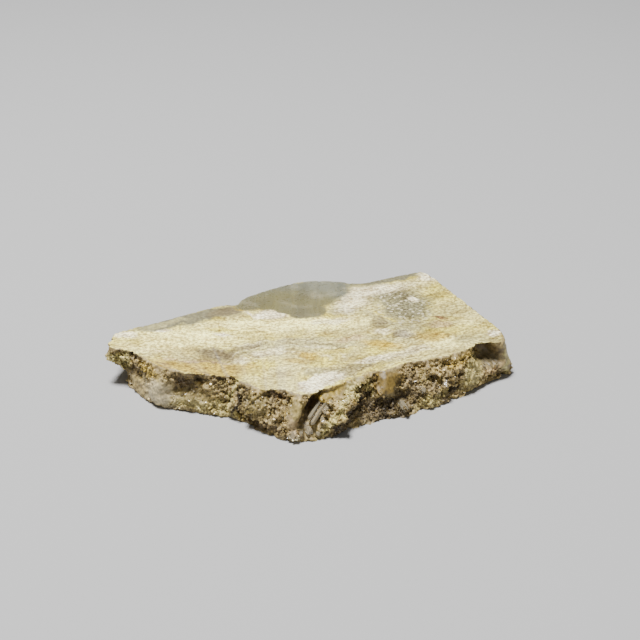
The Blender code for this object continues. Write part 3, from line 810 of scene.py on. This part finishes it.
class WallPaint(RockPaint):
    """The broken wall: the bands carried down it, with brown painted shade in its hollows, pale grains, and
    painted light where it stands out.
    """

    FRONT_FROM, FRONT_TO = 4.5, 2.0  # plan y at which the front wall's stains and painted shade fade in
    BACK_FROM, BACK_TO = 2.0, 7.0  # and over which the back wall's bands do

    TANS = Cloud(3.2, 3.0, 0.6)
    IRON, IRON_SHIFT, IRON_SHARE = Cloud(2.2, 3.0, 0.6), (31.0, 7.0, 3.0), 0.35
    PALES, PALE_SHIFT, PALE_SHARE = Cloud(2.4, 3.0, 0.6), (5.0, 43.0, 9.0), 0.5
    LAYERS = Cloud(1.3, 4.0, 0.65)
    LAYER_DARK, LAYER_SHARE = (0.6, 0.55, 0.46, 1.0), 0.6
    BACK_SHARE, CLOUD_SHARE, VEIL_SHARE, LENS_SHARE = 0.9, 0.7, 0.85, 0.9
    GRAINS = Cloud(0.4, 2.0, 0.6)
    GRAIN = Grit((1.9, 1.8, 1.7), (0.42, 0.36, 0.28), (0.52, 0.66), (0.48, 0.34), 0.5, 0.6)
    CLEAN, CLEAN_SHARE = (1.8, 1.75, 1.7, 1.0), 0.6  # painted light: multiplies the colour where the wall stands proud
    UMBER_SHARE, CRAGGY_UMBER = 0.2, 0.45  # painted shade in a smooth wall's hollows, and what a craggy wall adds
    DEEP_SHADE_SHARE = 0.7  # painted shade at the bottom of the deep ones

    def __init__(self, bench: Bench) -> None:
        """Adds what the mesh says of its own hollows."""
        super().__init__(bench)
        self.hollow = bench.measure("hollow")
        self.deep = bench.measure("deep")
        self.craggy = bench.measure("craggy")

    def shifted(self, shift: Place, cloud: Cloud) -> Wire:
        """A noise read elsewhere, so that it is unlike the others."""
        return self.bench.noise(self.bench.vector("ADD", self.plan, shift), cloud)

    def wall(self) -> Wire:
        """The colour of the broken wall."""
        bench = self.bench
        cloud = bench.noise(self.plan, self.TANS)
        colour = bench.blend(cloud.rise(0.4, 0.62), Tone.FAWN.value, Tone.TAN.value)
        iron = self.shifted(self.IRON_SHIFT, self.IRON).rise(0.52, 0.66) * self.IRON_SHARE
        colour = bench.blend(iron, colour, Tone.OCHRE.value)
        pale = self.shifted(self.PALE_SHIFT, self.PALES).rise(0.52, 0.64) * self.PALE_SHARE
        colour = bench.blend(pale, colour, Tone.SAND.value)
        behind = self.y.rise(self.BACK_FROM, self.BACK_TO)
        layer = bench.noise(bench.joined(self.band * 0.4, self.z, self.x * 0.1), self.LAYERS)
        back = bench.blend(layer.rise(0.4, 0.56), Tone.SAND.value, Tone.CREAM.value)
        back = bench.blend(cloud.rise(0.5, 0.6) * self.CLOUD_SHARE, back, Tone.VEIL.value)
        back = bench.blend(self.veiled() * self.VEIL_SHARE, back, Tone.VEIL.value)
        back = bench.blend(self.lens() * self.LENS_SHARE, back, Tone.SMOKE.value)
        back = bench.multiply(back, self.LAYER_DARK, layer.rise(0.5, 0.38) * self.LAYER_SHARE)
        colour = bench.blend(behind * self.BACK_SHARE, colour, back)
        front = self.y.rise(self.FRONT_FROM, self.FRONT_TO)
        return self.overlay(colour, STAINS_AND_SHADE, self.ragged, front)

    def grains_with_painted_light_and_shade(self) -> Wire:
        """The wall's colour with its grains, brown painted shade in its hollows and painted light where it
        stands out.
        """
        bench = self.bench
        colour = self.wall()
        grain = bench.noise(self.plan, self.GRAINS)
        colour = self.GRAIN.lay(bench, colour, grain)
        # Painted light where the wall stands proud.
        proud = (self.hollow * -1.0).rise(0.02, 0.12)
        colour = bench.multiply(colour, self.CLEAN, proud * self.craggy * self.CLEAN_SHARE)
        # Painted shade in brown in the hollows.
        sunk = (self.hollow + (grain - 0.5) * 0.2).rise(-0.02, 0.1)
        hollow_shade = sunk * (self.UMBER_SHARE + self.craggy * self.CRAGGY_UMBER)
        colour = bench.blend(hollow_shade, colour, Tone.UMBER.value)
        # Painted shade, darker, at the bottom of the deep hollows.
        bottom = (self.deep + (grain - 0.5) * 0.4).rise(0.14, 0.6)
        return bench.blend(bottom * self.DEEP_SHADE_SHARE, colour, Tone.EARTH.value)


@dataclass(frozen=True)
class BrokenFinish(Finish):
    """The broken wall of the slab."""

    name: str = "broken_rock"
    inside: Inside = Inside(0.05, 0.5, (1.0, 0.7, 0.35))
    crumbs: Cloud = Cloud(0.22, 4.0, 0.75)

    def paint(self, bench: Bench) -> Wire:
        """Builds the shader and returns its surface."""
        rock = WallPaint(bench)
        relief = bench.noise(rock.plan, self.crumbs)
        colour = rock.grains_with_painted_light_and_shade()
        roughness = 0.3 + rock.craggy * 0.3 + relief * 0.2
        return self.inside.surface(bench, colour, roughness, bench.bump(relief, 0.5, 0.08))


@dataclass(frozen=True)
class GrainFinish(Finish):
    """The crust's grains: clean quartz and chalky rock, each a little different."""

    name: str = "sugary_grains"
    inside: Inside = Inside(0.2, 0.3, (1.0, 0.8, 0.5))
    grit: Grit = Grit((1.9, 1.85, 1.75), (0.46, 0.4, 0.32), (0.45, 1.0), (0.35, 0.1), 0.7, 0.7)

    def paint(self, bench: Bench) -> Wire:
        """Builds the shader and returns its surface."""
        rock = WallPaint(bench)
        draw = bench.wire("ShaderNodeNewGeometry", {}, {}, "Random Per Island")
        colour = self.grit.lay(bench, rock.wall(), draw)
        # Painted shade on the grains deep in the wall's hollows.
        colour = bench.blend(rock.deep.rise(0.14, 0.6) * 0.6, colour, Tone.EARTH.value)
        roughness = 0.18 + (draw * 7.0).math("FRACT") * 0.3
        return self.inside.surface(bench, colour, roughness)


@dataclass(frozen=True)
class QuartzFinish(Finish):
    """Clear quartz with a faint brown tinge."""

    name: str = "clear_quartz"
    colour: Colour = (0.52, 0.45, 0.3, 1.0)
    clearness: float = 0.65
    tinge: Colour = (0.8, 0.72, 0.52, 1.0)
    density: float = 600.0  # per metre

    def paint(self, bench: Bench) -> Wire:
        """Builds the shader and returns its surface."""
        inputs = {
            "Base Color": self.colour,
            "Roughness": 0.1,
            "IOR": QUARTZ_IOR,
            "Transmission Weight": self.clearness,
        }
        return bench.wire("ShaderNodeBsdfPrincipled", {}, inputs)

    def fill(self, bench: Bench) -> Wire | None:
        """What light meets inside the piece, if anything."""
        inputs = {"Color": self.tinge, "Density": self.density}
        return bench.wire("ShaderNodeVolumeAbsorption", {}, inputs)


@dataclass(frozen=True)
class PaperFinish(Finish):
    """The plain pale floor."""

    name: str = "pale_paper"
    colour: Colour = (0.37, 0.37, 0.37, 1.0)

    def paint(self, bench: Bench) -> Wire:
        """Builds the shader and returns its surface."""
        inputs = {"Base Color": self.colour, "Roughness": 0.9, "Specular IOR Level": 0.2}
        return bench.wire("ShaderNodeBsdfPrincipled", {}, inputs)


def select_only(*pieces: bpy.types.Object) -> None:
    """Selects these objects and nothing else, the first as the active one."""
    bpy.ops.object.select_all(action="DESELECT")
    for piece in pieces:
        piece.select_set(True)
    bpy.context.view_layer.objects.active = pieces[0]


class Editing:
    """Edit mode on one piece, as a with block in which elements are picked by a test."""

    def __init__(self, piece: bpy.types.Object, mode: str = "FACE") -> None:
        """Holds the piece and the selection mode: VERT, EDGE or FACE."""
        self.piece = piece
        self.mode = mode

    def __enter__(self) -> "Editing":
        """Opens the mesh with nothing selected."""
        select_only(self.piece)
        bpy.ops.object.mode_set(mode="EDIT")
        bpy.ops.mesh.select_mode(type=self.mode)
        bpy.ops.mesh.select_all(action="DESELECT")
        return self

    def pick(self, kind: str, test: Callable[[object], bool]) -> int:
        """Selects the elements that pass a test, and no others.

        Args:
            kind: verts, edges or faces.
            test: Takes an element and says whether it is selected.

        Returns:
            How many are selected.
        """
        bpy.ops.mesh.select_all(action="DESELECT")
        work = bmesh.from_edit_mesh(self.piece.data)
        chosen = [item for item in getattr(work, kind) if test(item)]
        for item in chosen:
            item.select_set(True)
        work.select_flush_mode()
        bmesh.update_edit_mesh(self.piece.data)
        return len(chosen)

    def __exit__(self, *error: object) -> None:
        """Closes the mesh, whether or not there was an error."""
        bpy.ops.object.mode_set(mode="OBJECT")


def apply_modifier(piece: bpy.types.Object, kind: str, **settings: object) -> None:
    """Adds a modifier and applies it.

    Args:
        piece: The object.
        kind: The modifier's type.
        settings: Its properties.
    """
    select_only(piece)
    added = piece.modifiers.new(kind.lower(), kind)
    for name, value in settings.items():
        setattr(added, name, value)
    bpy.ops.object.modifier_apply(modifier=added.name)


def numbers(items: bpy.types.bpy_prop_collection, name: str, width: int, kind: type = float) -> np.ndarray:
    """One property of all elements of a mesh, as an array.

    Args:
        items: The mesh's vertices, edges or polygons.
        name: The property.
        width: How many numbers it has for each element.
        kind: Their type.

    Returns:
        An array of a row for each element.
    """
    found = np.empty(len(items) * width, kind)
    items.foreach_get(name, found)
    return found.reshape(-1, width)


def ramp(values: np.ndarray, start: float, reach: float) -> np.ndarray:
    """A straight rise from 0 at start to 1 a reach further on, downwards if the reach is negative."""
    return np.clip((values - start) / reach, 0.0, 1.0)


def under_rim(z: np.ndarray) -> np.ndarray:
    """How far heights in millimetres lie from the nearer sawn face."""
    return np.minimum(z, THICKNESS - z)


class Skin:
    """A mesh's points as arrays in plan millimetres, with what is measured across its surface."""

    def __init__(self, piece: bpy.types.Object) -> None:
        """Reads the points, their normals and the edges between them."""
        self.mesh = piece.data
        self.points = numbers(self.mesh.vertices, "co", 3) / MM - np.array(PLAN_ZERO)
        self.normals = numbers(self.mesh.vertices, "normal", 3)
        self.edges = numbers(self.mesh.edges, "vertices", 2, np.int32)
        count = np.bincount(self.edges.ravel(), minlength=len(self.points))
        self.neighbours = np.maximum(count, 1)[:, None]

    def averaged(self, values: np.ndarray, passes: int) -> np.ndarray:
        """Values of each point, mixed again and again with its neighbours'.

        Args:
            values: A row for each point.
            passes: How many times.

        Returns:
            The smoothed values.
        """
        first, second = self.edges[:, 0], self.edges[:, 1]
        for _ in range(passes):
            total = np.empty_like(values)
            for axis in range(values.shape[1]):
                column = values[:, axis]
                total[:, axis] = np.bincount(first, column[second], len(values))
                total[:, axis] += np.bincount(second, column[first], len(values))
            values = (values + total / self.neighbours) * 0.5
        return values

    def hollows(self, passes: int) -> np.ndarray:
        """How far each point lies below the smoothed surface, in millimetres."""
        smooth = self.averaged(self.points, passes)
        facing = self.averaged(self.normals, 3)
        return ((smooth - self.points) * facing).sum(axis=1)

    def store(self, name: str, values: np.ndarray) -> None:
        """Keeps a number for each point on the mesh."""
        attribute = self.mesh.attributes.new(name, "FLOAT", "POINT")
        attribute.data.foreach_set("value", values.astype(np.float32))

    def place(self) -> None:
        """Writes the points back to the mesh."""
        moved = (self.points + np.array(PLAN_ZERO)) * MM
        self.mesh.vertices.foreach_set("co", moved.ravel())
        self.mesh.update()


@dataclass(frozen=True)
class Relief:
    """One layer of breakage: a texture that pushes the wall out and in."""

    texture: str
    size: float  # of its features
    rise: float  # from its lowest to its highest
    middle: float  # the texture's value that moves nothing
    settings: dict[str, object] = field(default_factory=dict)

    def press(self, piece: bpy.types.Object, group: str) -> None:
        """Displaces a piece's points along their normals.

        Args:
            piece: The object.
            group: The vertex group that says how strongly.
        """
        texture = bpy.data.textures.new(f"{self.texture.lower()}_{self.size}", self.texture)
        texture.noise_scale = self.size * MM
        for name, value in self.settings.items():
            setattr(texture, name, value)
        apply_modifier(
            piece,
            "DISPLACE",
            texture=texture,
            texture_coords="LOCAL",
            vertex_group=group,
            strength=self.rise * MM,
            mid_level=self.middle,
        )


@dataclass
class BandedSlab:
    """The slab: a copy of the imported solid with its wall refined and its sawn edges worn."""

    # Where a stretch of the back wall starts on the plan, and how far on it is fully there.
    BACK = (2.0, 3.0)  # in y
    CLEAR = (-31.0, 3.0)  # in x, from the left
    CLEAR_END = (9.0, -3.0)  # and from the right
    RIGHT = (19.0, 2.0)
    CLEAR_CALM, PLAIN_CALM, RIGHT_CALM = 0.9, 0.7, 0.45  # how much less craggy than the front they are
    RIM_SHARE, RIM_FADE = 0.35, 0.7  # the share at the sawn edges, and the depth that adds a whole one
    INLAND = (0.1, 0.4)  # hollows start to count this far from the sawn edges, and fully this much further
    FACING_PASSES, NEAR_PASSES, DEEP_PASSES = 24, 6, 60  # of averaging over neighbouring points
    FLAT, LEVEL_SLACK = 0.999, 0.01  # a sawn face looks this straight up, and lies this near its level

    name: str = "banded_slab"
    cuts: int = 3  # new points along each edge of the wall
    weld: float = 0.001
    rounding: int = 3  # smoothing passes over the refined wall
    wear: float = 0.16  # radius of the worn sawn edges
    chipping: float = 0.34  # and how much further they are chipped in places
    chip_run: tuple[float, float] = (1.7, 2.3)  # how quickly the chips follow each other along x and y
    chip_beat: float = 2.7  # a second, quicker wave makes them uneven
    chip_level: float = 0.6  # where the two waves together start to chip
    chip_reach: float = 1.4  # and how far above it the chip is full
    crease: float = 38.0  # degrees between faces that stay sharp
    reliefs: tuple[Relief, ...] = (
        Relief("CLOUDS", 2.2, 0.8, 0.5, {"noise_depth": 2}),
        Relief("VORONOI", 1.1, -0.7, 0.42, {}),
        Relief("MUSGRAVE", 0.8, 0.3, 0.6, {"musgrave_type": "RIDGED_MULTIFRACTAL"}),
        Relief("VORONOI", 0.46, -0.42, 0.42, {}),
        Relief("CLOUDS", 0.26, 0.24, 0.5, {"noise_depth": 2}),
    )

    def build(self) -> bpy.types.Object:
        """Models the slab.

        Returns:
            The slab's object.
        """
        slab = bpy.data.objects.new(self.name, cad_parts[NODE].data.copy())
        bpy.context.scene.collection.objects.link(slab)
        self.open_up(slab)
        self.weigh(slab)
        for relief in self.reliefs:
            relief.press(slab, "craggy")
        self.wear_edges(slab)
        self.close_up(slab)
        return slab

    @staticmethod
    def sawn(face: bmesh.types.BMFace) -> bool:
        """Whether a face belongs to the sawn top or bottom."""
        middle = face.calc_center_median().z / MM
        off_level = min(abs(middle), abs(middle - THICKNESS))
        return abs(face.normal.z) > BandedSlab.FLAT and off_level < BandedSlab.LEVEL_SLACK

    def open_up(self, slab: bpy.types.Object) -> None:
        """Takes the flat sawn faces off and makes the wall between them finer and rounder."""
        with Editing(slab) as edit:
            bpy.ops.mesh.select_all(action="SELECT")
            bpy.ops.mesh.remove_doubles(threshold=self.weld * MM)
            edit.pick("faces", self.sawn)
            bpy.ops.mesh.delete(type="FACE")
            bpy.ops.mesh.select_all(action="SELECT")
            bpy.ops.mesh.subdivide(number_cuts=self.cuts)
        with Editing(slab, "VERT") as edit:
            edit.pick("verts", lambda vert: not vert.is_boundary)
            bpy.ops.mesh.vertices_smooth(factor=0.5, repeat=self.rounding)

    def weigh(self, slab: bpy.types.Object) -> None:
        """Says how craggy each point is: rough rock, smooth chalcedony, or a sawn edge."""
        skin = Skin(slab)
        x, y, z = skin.points.T
        back = ramp(y, *self.BACK)
        clear = ramp(x, *self.CLEAR_END) * ramp(x, *self.CLEAR)
        right = ramp(x, *self.RIGHT)
        plain = self.PLAIN_CALM * (1.0 - clear) * (1.0 - right)
        craggy = 1.0 - back * (self.CLEAR_CALM * clear + plain + self.RIGHT_CALM * right)
        for quiet in QUIET:
            near = ((x - quiet.x) / quiet.wide) ** 2 + ((z - quiet.z) / quiet.high) ** 2
            craggy *= 1.0 - quiet.calm * np.exp(-near * near) * (1.0 - back)
        skin.store("craggy", craggy)
        weights = craggy * np.clip(self.RIM_SHARE + under_rim(z) / self.RIM_FADE, 0.0, 1.0)
        group = slab.vertex_groups.new(name="craggy")
        for index, weight in enumerate(weights.tolist()):
            group.add([index], weight, "REPLACE")

    def wear_edges(self, slab: bpy.types.Object) -> None:
        """Rounds and chips the wall where it meets the sawn faces, and keeps those flat."""
        skin = Skin(slab)
        outward = skin.averaged(skin.normals, self.FACING_PASSES)
        outward[:, 2] = 0.0
        outward /= np.maximum(np.linalg.norm(outward, axis=1), 1e-6)[:, None]
        z = skin.points[:, 2]
        along = skin.points[:, 0] * self.chip_run[0] + skin.points[:, 1] * self.chip_run[1]
        waves = np.sin(along) + np.sin(along * self.chip_beat + 1.0) - self.chip_level
        chip = np.clip(waves, 0.0, self.chip_reach) / self.chip_reach
        radius = self.wear + self.chipping * chip
        for depth in (z, THICKNESS - z):
            near = np.clip(1.0 - depth / radius, 0.0, 1.0)
            inward = radius * (1.0 - np.sqrt(1.0 - near * near))
            skin.points -= outward * inward[:, None]
        skin.points[:, 2] = np.clip(z, 0.0, THICKNESS)
        skin.place()

    def close_up(self, slab: bpy.types.Object) -> None:
        """Flattens both rims, fills the sawn faces and measures the wall's hollows."""
        for level in (0.0, THICKNESS):
            with Editing(slab, "EDGE") as edit:
                edit.pick(
                    "edges", lambda item: item.is_boundary and abs(item.verts[0].co.z / MM - level) < 1.0
                )
                bpy.ops.mesh.edge_face_add()
        flat = Skin(slab)
        for polygon in slab.data.polygons:
            if len(polygon.vertices) > WALL_CORNERS:
                level = THICKNESS if polygon.center.z > THICKNESS * MM / 2 else 0.0
                flat.points[np.array(polygon.vertices), 2] = level
        flat.place()
        inland = ramp(under_rim(flat.points[:, 2]), *self.INLAND)
        flat.store("hollow", flat.hollows(self.NEAR_PASSES) * inland)
        flat.store("deep", flat.hollows(self.DEEP_PASSES) * inland)

    def dress(self, slab: bpy.types.Object) -> None:
        """Gives the sawn faces and the wall their finishes."""
        slab.data.materials.clear()
        slab.data.materials.append(BrokenFinish().material())
        slab.data.materials.append(SawnFinish().material())
        for polygon in slab.data.polygons:
            polygon.material_index = 1 if len(polygon.vertices) > WALL_CORNERS else 0
        select_only(slab)
        bpy.ops.object.shade_smooth_by_angle(angle=math.radians(self.crease))


@dataclass(frozen=True)
class Point:
    """One quartz crystal, from its root to its tip, on the plan and up."""

    root: Place
    tip: Place
    radius: float
    turn: float = 0.0


@dataclass
class QuartzPoints:
    """Small quartz crystals at the front corner and in the right wall."""

    name: str = "quartz_points"
    coat: float = 0.07  # how far the clear crystals stand over the solid's
    bevel: float = 0.03
    pyramid: float = 1.15  # the length of a crystal's pyramid, in radii
    facing_tip: float = 0.9  # a face turned this far towards the tip is the column's end
    points: tuple[Point, ...] = (
        Point((3.0, -17.2, 4.7), (0.6, -20.4, 2.3), 0.34, 0.5),
        Point((2.6, -16.4, 5.3), (0.2, -20.0, 3.0), 0.3, 0.2),
        Point((0.5, -19.0, 1.0), (0.1, -21.2, 1.2), 0.72, 0.3),
        Point((1.6, -18.7, 0.8), (1.7, -21.0, 0.8), 0.42, 0.9),
        Point((-0.8, -19.6, 1.5), (-1.0, -21.6, 1.1), 0.34, 0.2),
        Point((-1.9, -20.2, 1.5), (-2.0, -22.1, 0.9), 0.62, 0.4),
        Point((2.2, -18.3, 2.8), (2.5, -20.4, 2.4), 0.38, 0.7),
        Point((2.9, -17.6, 3.9), (2.7, -19.5, 3.7), 0.42, 0.1),
        Point((3.6, -16.9, 4.6), (3.5, -18.6, 4.6), 0.36, 0.6),
        Point((17.4, -9.6, 2.9), (18.1, -11.9, 3.1), 0.5, 0.2),
        Point((21.2, -7.8, 2.6), (21.7, -9.9, 2.9), 0.55, 0.8),
        Point((14.4, -11.4, 1.2), (15.2, -14.6, 1.4), 0.5, 0.5),
    )

    def grow(self, point: Point) -> bpy.types.Object:
        """Models one crystal: a six-sided column drawn out to a pyramid.

        Args:
            point: Where it grows and how thick it is.

        Returns:
            The crystal's object.
        """
        root, tip = Vector(point.root), Vector(point.tip)
        axis = (tip - root).normalized()
        radius = point.radius + self.coat
        shoulder = tip - axis * radius
        facing = axis.to_track_quat("Z", "Y").to_matrix() @ Euler((0.0, 0.0, point.turn)).to_matrix()
        bpy.ops.object.select_all(action="DESELECT")
        bpy.ops.mesh.primitive_cylinder_add(
            vertices=6,
            radius=radius * MM,
            depth=(shoulder - root).length * MM,
            location=((root + shoulder) / 2 * MM) + PLAN_ZERO * MM,
            rotation=facing.to_euler(),
        )
        crystal = bpy.context.object
        bpy.ops.object.transform_apply(location=True, rotation=True, scale=True)
        with Editing(crystal) as edit:
            edit.pick("faces", lambda face: face.normal.dot(axis) > self.facing_tip)
            rise = axis * radius * self.pyramid * MM
            bpy.ops.mesh.extrude_region_move(TRANSFORM_OT_translate={"value": rise})
            bpy.ops.mesh.merge(type="CENTER")
        apply_modifier(crystal, "BEVEL", width=self.bevel * MM, segments=1, limit_method="ANGLE")
        return crystal

    def build(self) -> bpy.types.Object:
        """Models all the crystals as one piece.

        Returns:
            The piece.
        """
        crystals = [self.grow(point) for point in self.points]
        select_only(*crystals)
        bpy.ops.object.join()
        made = bpy.context.object
        made.name = self.name
        return made

    def dress(self, crystals: bpy.types.Object) -> None:
        """Makes them clear quartz."""
        crystals.data.materials.append(QuartzFinish().material())


@dataclass
class GrainCrust:
    """Thousands of small crystal grains, half sunk in the craggy parts of the wall."""

    name: str = "grain_crust"
    spacing: float = 0.26
    density: float = 12.0  # grains on a square millimetre, before the spacing thins them
    smallest: float = 0.34
    largest: float = 1.0
    grain: float = 0.42  # width of the largest grain
    taper: float = 0.4  # a stubby crystal's thin end as a share of its thick one
    stubby: float = 2.2  # and its length, in the largest grain's half widths
    block: float = 1.7  # a block's side, in the same
    rough: float = 0.3  # how far the corners are pushed about, in the same
    bare: float = 0.35  # craggier than this, the wall has grains
    sown_over: float = 0.5  # and they are thickest this much further on
    edge_gap: float = 0.36  # the sawn edges stay clear of grains by this much
    edge_fade: float = 0.3
    seed: int = 11

    def shapes(self) -> bpy.types.Collection:
        """Three kinds of grain to scatter: a stubby crystal, a broken block and a chip.

        Returns:
            A collection that isn't rendered, with one object for each kind.
        """
        kinds = bpy.data.collections.new("grain_shapes")
        half = self.grain / 2 * MM
        crystal = {"vertices": 6, "radius1": half, "radius2": half * self.taper, "depth": half * self.stubby}
        adders = (
            (bpy.ops.mesh.primitive_cone_add, crystal),
            (bpy.ops.mesh.primitive_cube_add, {"size": half * self.block}),
            (bpy.ops.mesh.primitive_ico_sphere_add, {"subdivisions": 1, "radius": half}),
        )
        for number, (add, sizes) in enumerate(adders):
            bpy.ops.object.select_all(action="DESELECT")
            add(location=(0.0, 0.0, 0.0), **sizes)
            shape = bpy.context.object
            shape.name = f"grain_shape_{number}"
            with Editing(shape, "VERT"):
                bpy.ops.mesh.select_all(action="SELECT")
                bpy.ops.transform.vertex_random(offset=half * self.rough, seed=self.seed + number)
            bpy.context.scene.collection.objects.unlink(shape)
            kinds.objects.link(shape)
        return kinds

    def scatter(self, kinds: bpy.types.Collection) -> bpy.types.NodeTree:
        """The geometry nodes that sow the grains and turn them into real mesh.

        Args:
            kinds: The grains' shapes.

        Returns:
            The node group.
        """
        group = bpy.data.node_groups.new("sow_grains", "GeometryNodeTree")
        group.interface.new_socket("Geometry", in_out="INPUT", socket_type="NodeSocketGeometry")
        group.interface.new_socket("Geometry", in_out="OUTPUT", socket_type="NodeSocketGeometry")
        bench = Bench(group)
        wall = bench.wire("NodeGroupInput", {}, {})
        craggy = bench.wire("GeometryNodeInputNamedAttribute", {"data_type": "FLOAT"}, {"Name": "sowing"})
        sowing = {
            "Mesh": wall,
            "Distance Min": self.spacing * MM,
            "Density Max": self.density / MM**2,
            "Density Factor": craggy,
            "Seed": self.seed,
        }
        sown = bench.wire("GeometryNodeDistributePointsOnFaces", {"distribute_method": "POISSON"}, sowing)
        turns = {0: (0.0,) * 3, 1: (math.tau,) * 3, "Seed": self.seed}
        turn = bench.wire("FunctionNodeRandomValue", {"data_type": "FLOAT_VECTOR"}, turns)
        sizes = {2: self.smallest, 3: self.largest, "Seed": self.seed + 1}
        size = bench.wire("FunctionNodeRandomValue", {"data_type": "FLOAT"}, sizes, 1)
        separate = {"Collection": kinds, "Separate Children": True, "Reset Children": True}
        shapes = bench.wire("GeometryNodeCollectionInfo", {}, separate)
        laid = {"Points": sown, "Instance": shapes, "Pick Instance": True, "Rotation": turn, "Scale": size}
        grains = bench.wire("GeometryNodeInstanceOnPoints", {}, laid)
        real = bench.wire("GeometryNodeRealizeInstances", {}, {0: grains})
        bench.node("NodeGroupOutput", {}, {0: real})
        return group

    def build(self, slab: bpy.types.Object) -> bpy.types.Object:
        """Sows the grains on the slab's wall.

        Args:
            slab: The finished slab.

        Returns:
            The crust as one object.
        """
        crust = bpy.data.objects.new(self.name, slab.data.copy())
        bpy.context.scene.collection.objects.link(crust)
        with Editing(crust) as edit:
            edit.pick("faces", lambda face: len(face.verts) > WALL_CORNERS)
            bpy.ops.mesh.delete(type="FACE")
        skin = Skin(crust)
        craggy = numbers(crust.data.attributes["craggy"].data, "value", 1)[:, 0]
        clear_of_edges = ramp(under_rim(skin.points[:, 2]), self.edge_gap, self.edge_fade)
        skin.store("sowing", ramp(craggy, self.bare, self.sown_over) * clear_of_edges)
        apply_modifier(crust, "NODES", node_group=self.scatter(self.shapes()))
        return crust

    def dress(self, crust: bpy.types.Object) -> None:
        """Gives the grains their finish."""
        crust.data.materials.clear()
        crust.data.materials.append(GrainFinish().material())
        for polygon in crust.data.polygons:
            polygon.material_index = 0
            polygon.use_smooth = False


@dataclass(frozen=True)
class Lamp:
    """A square soft light that faces the slice: where it hangs and how long its side is, and its watts."""

    name: str
    place: Place
    side: float
    power: float

    def hang(self) -> None:
        """Adds the light to the scene."""
        light = bpy.data.lights.new(self.name, "AREA")
        light.size = self.side * MM
        light.energy = self.power
        made = bpy.data.objects.new(self.name, light)
        made.location = Vector(self.place) * MM
        made.rotation_euler = (-Vector(self.place)).to_track_quat("-Z", "Y").to_euler()
        bpy.context.scene.collection.objects.link(made)


@dataclass
class Studio:
    """A pale floor, soft light and the camera."""

    floor_size: float = 4000.0
    camera_place: Place = (1.4222, -203.924, 112.61)
    camera_tilt: float = 63.0  # degrees up from looking straight down
    lens: float = 80.0
    sensor: float = 36.0
    lamps: tuple[Lamp, ...] = (
        Lamp("overhead", (-110.0, 0.0, 600.0), 150.0, 10.2),
        Lamp("front", (160.0, -420.0, 300.0), 260.0, 0.15),
    )
    room_light: float = 0.16

    def floor(self) -> bpy.types.Object:
        """The floor that the slice lies on.

        Returns:
            The floor's object.
        """
        bpy.ops.object.select_all(action="DESELECT")
        bpy.ops.mesh.primitive_plane_add(size=self.floor_size * MM, location=(0.0, 0.0, 0.0))
        made = bpy.context.object
        made.name = "floor"
        made.data.materials.append(PaperFinish().material())
        return made

    def light(self) -> None:
        """Hangs the lamps and fills the room with weak even light."""
        for lamp in self.lamps:
            lamp.hang()
        world = bpy.data.worlds.new("room")
        world.use_nodes = True
        room = Bench(world.node_tree)
        glow = room.wire("ShaderNodeBackground", {}, {"Color": (1.0,) * 4, "Strength": self.room_light})
        room.node("ShaderNodeOutputWorld", {}, {"Surface": glow})
        bpy.context.scene.world = world

    def camera(self) -> None:
        """Sets up the camera."""
        data = bpy.data.cameras.new("camera")
        data.lens = self.lens
        data.sensor_width = self.sensor
        made = bpy.data.objects.new("camera", data)
        made.location = Vector(self.camera_place) * MM
        made.rotation_euler = (math.radians(self.camera_tilt), 0.0, 0.0)
        bpy.context.scene.collection.objects.link(made)
        bpy.context.scene.camera = made


def report(piece: bpy.types.Object) -> None:
    """Logs a finished piece's size."""
    size = ", ".join(f"{side / MM:.1f}" for side in piece.dimensions)
    log.info("%s: %d faces, %s mm", piece.name, len(piece.data.polygons), size)


def settle(piece: bpy.types.Object) -> None:
    """Puts a finished piece on the slice's body and logs its size."""
    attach(piece, BODY)
    report(piece)


def main() -> None:
    """Builds the slice and the studio around it."""
    logging.basicConfig(level=logging.INFO, format="%(message)s")
    studio = Studio()
    studio.camera()
    studio.floor()
    studio.light()

    slab_maker = BandedSlab()
    slab = slab_maker.build()
    crust_maker = GrainCrust()
    crust = crust_maker.build(slab)
    crust_maker.dress(crust)
    slab_maker.dress(slab)
    quartz_maker = QuartzPoints()
    quartz = quartz_maker.build()
    quartz_maker.dress(quartz)

    for piece in (slab, crust, quartz):
        settle(piece)
    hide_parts(NODE)


if __name__ == "__main__":
    main()
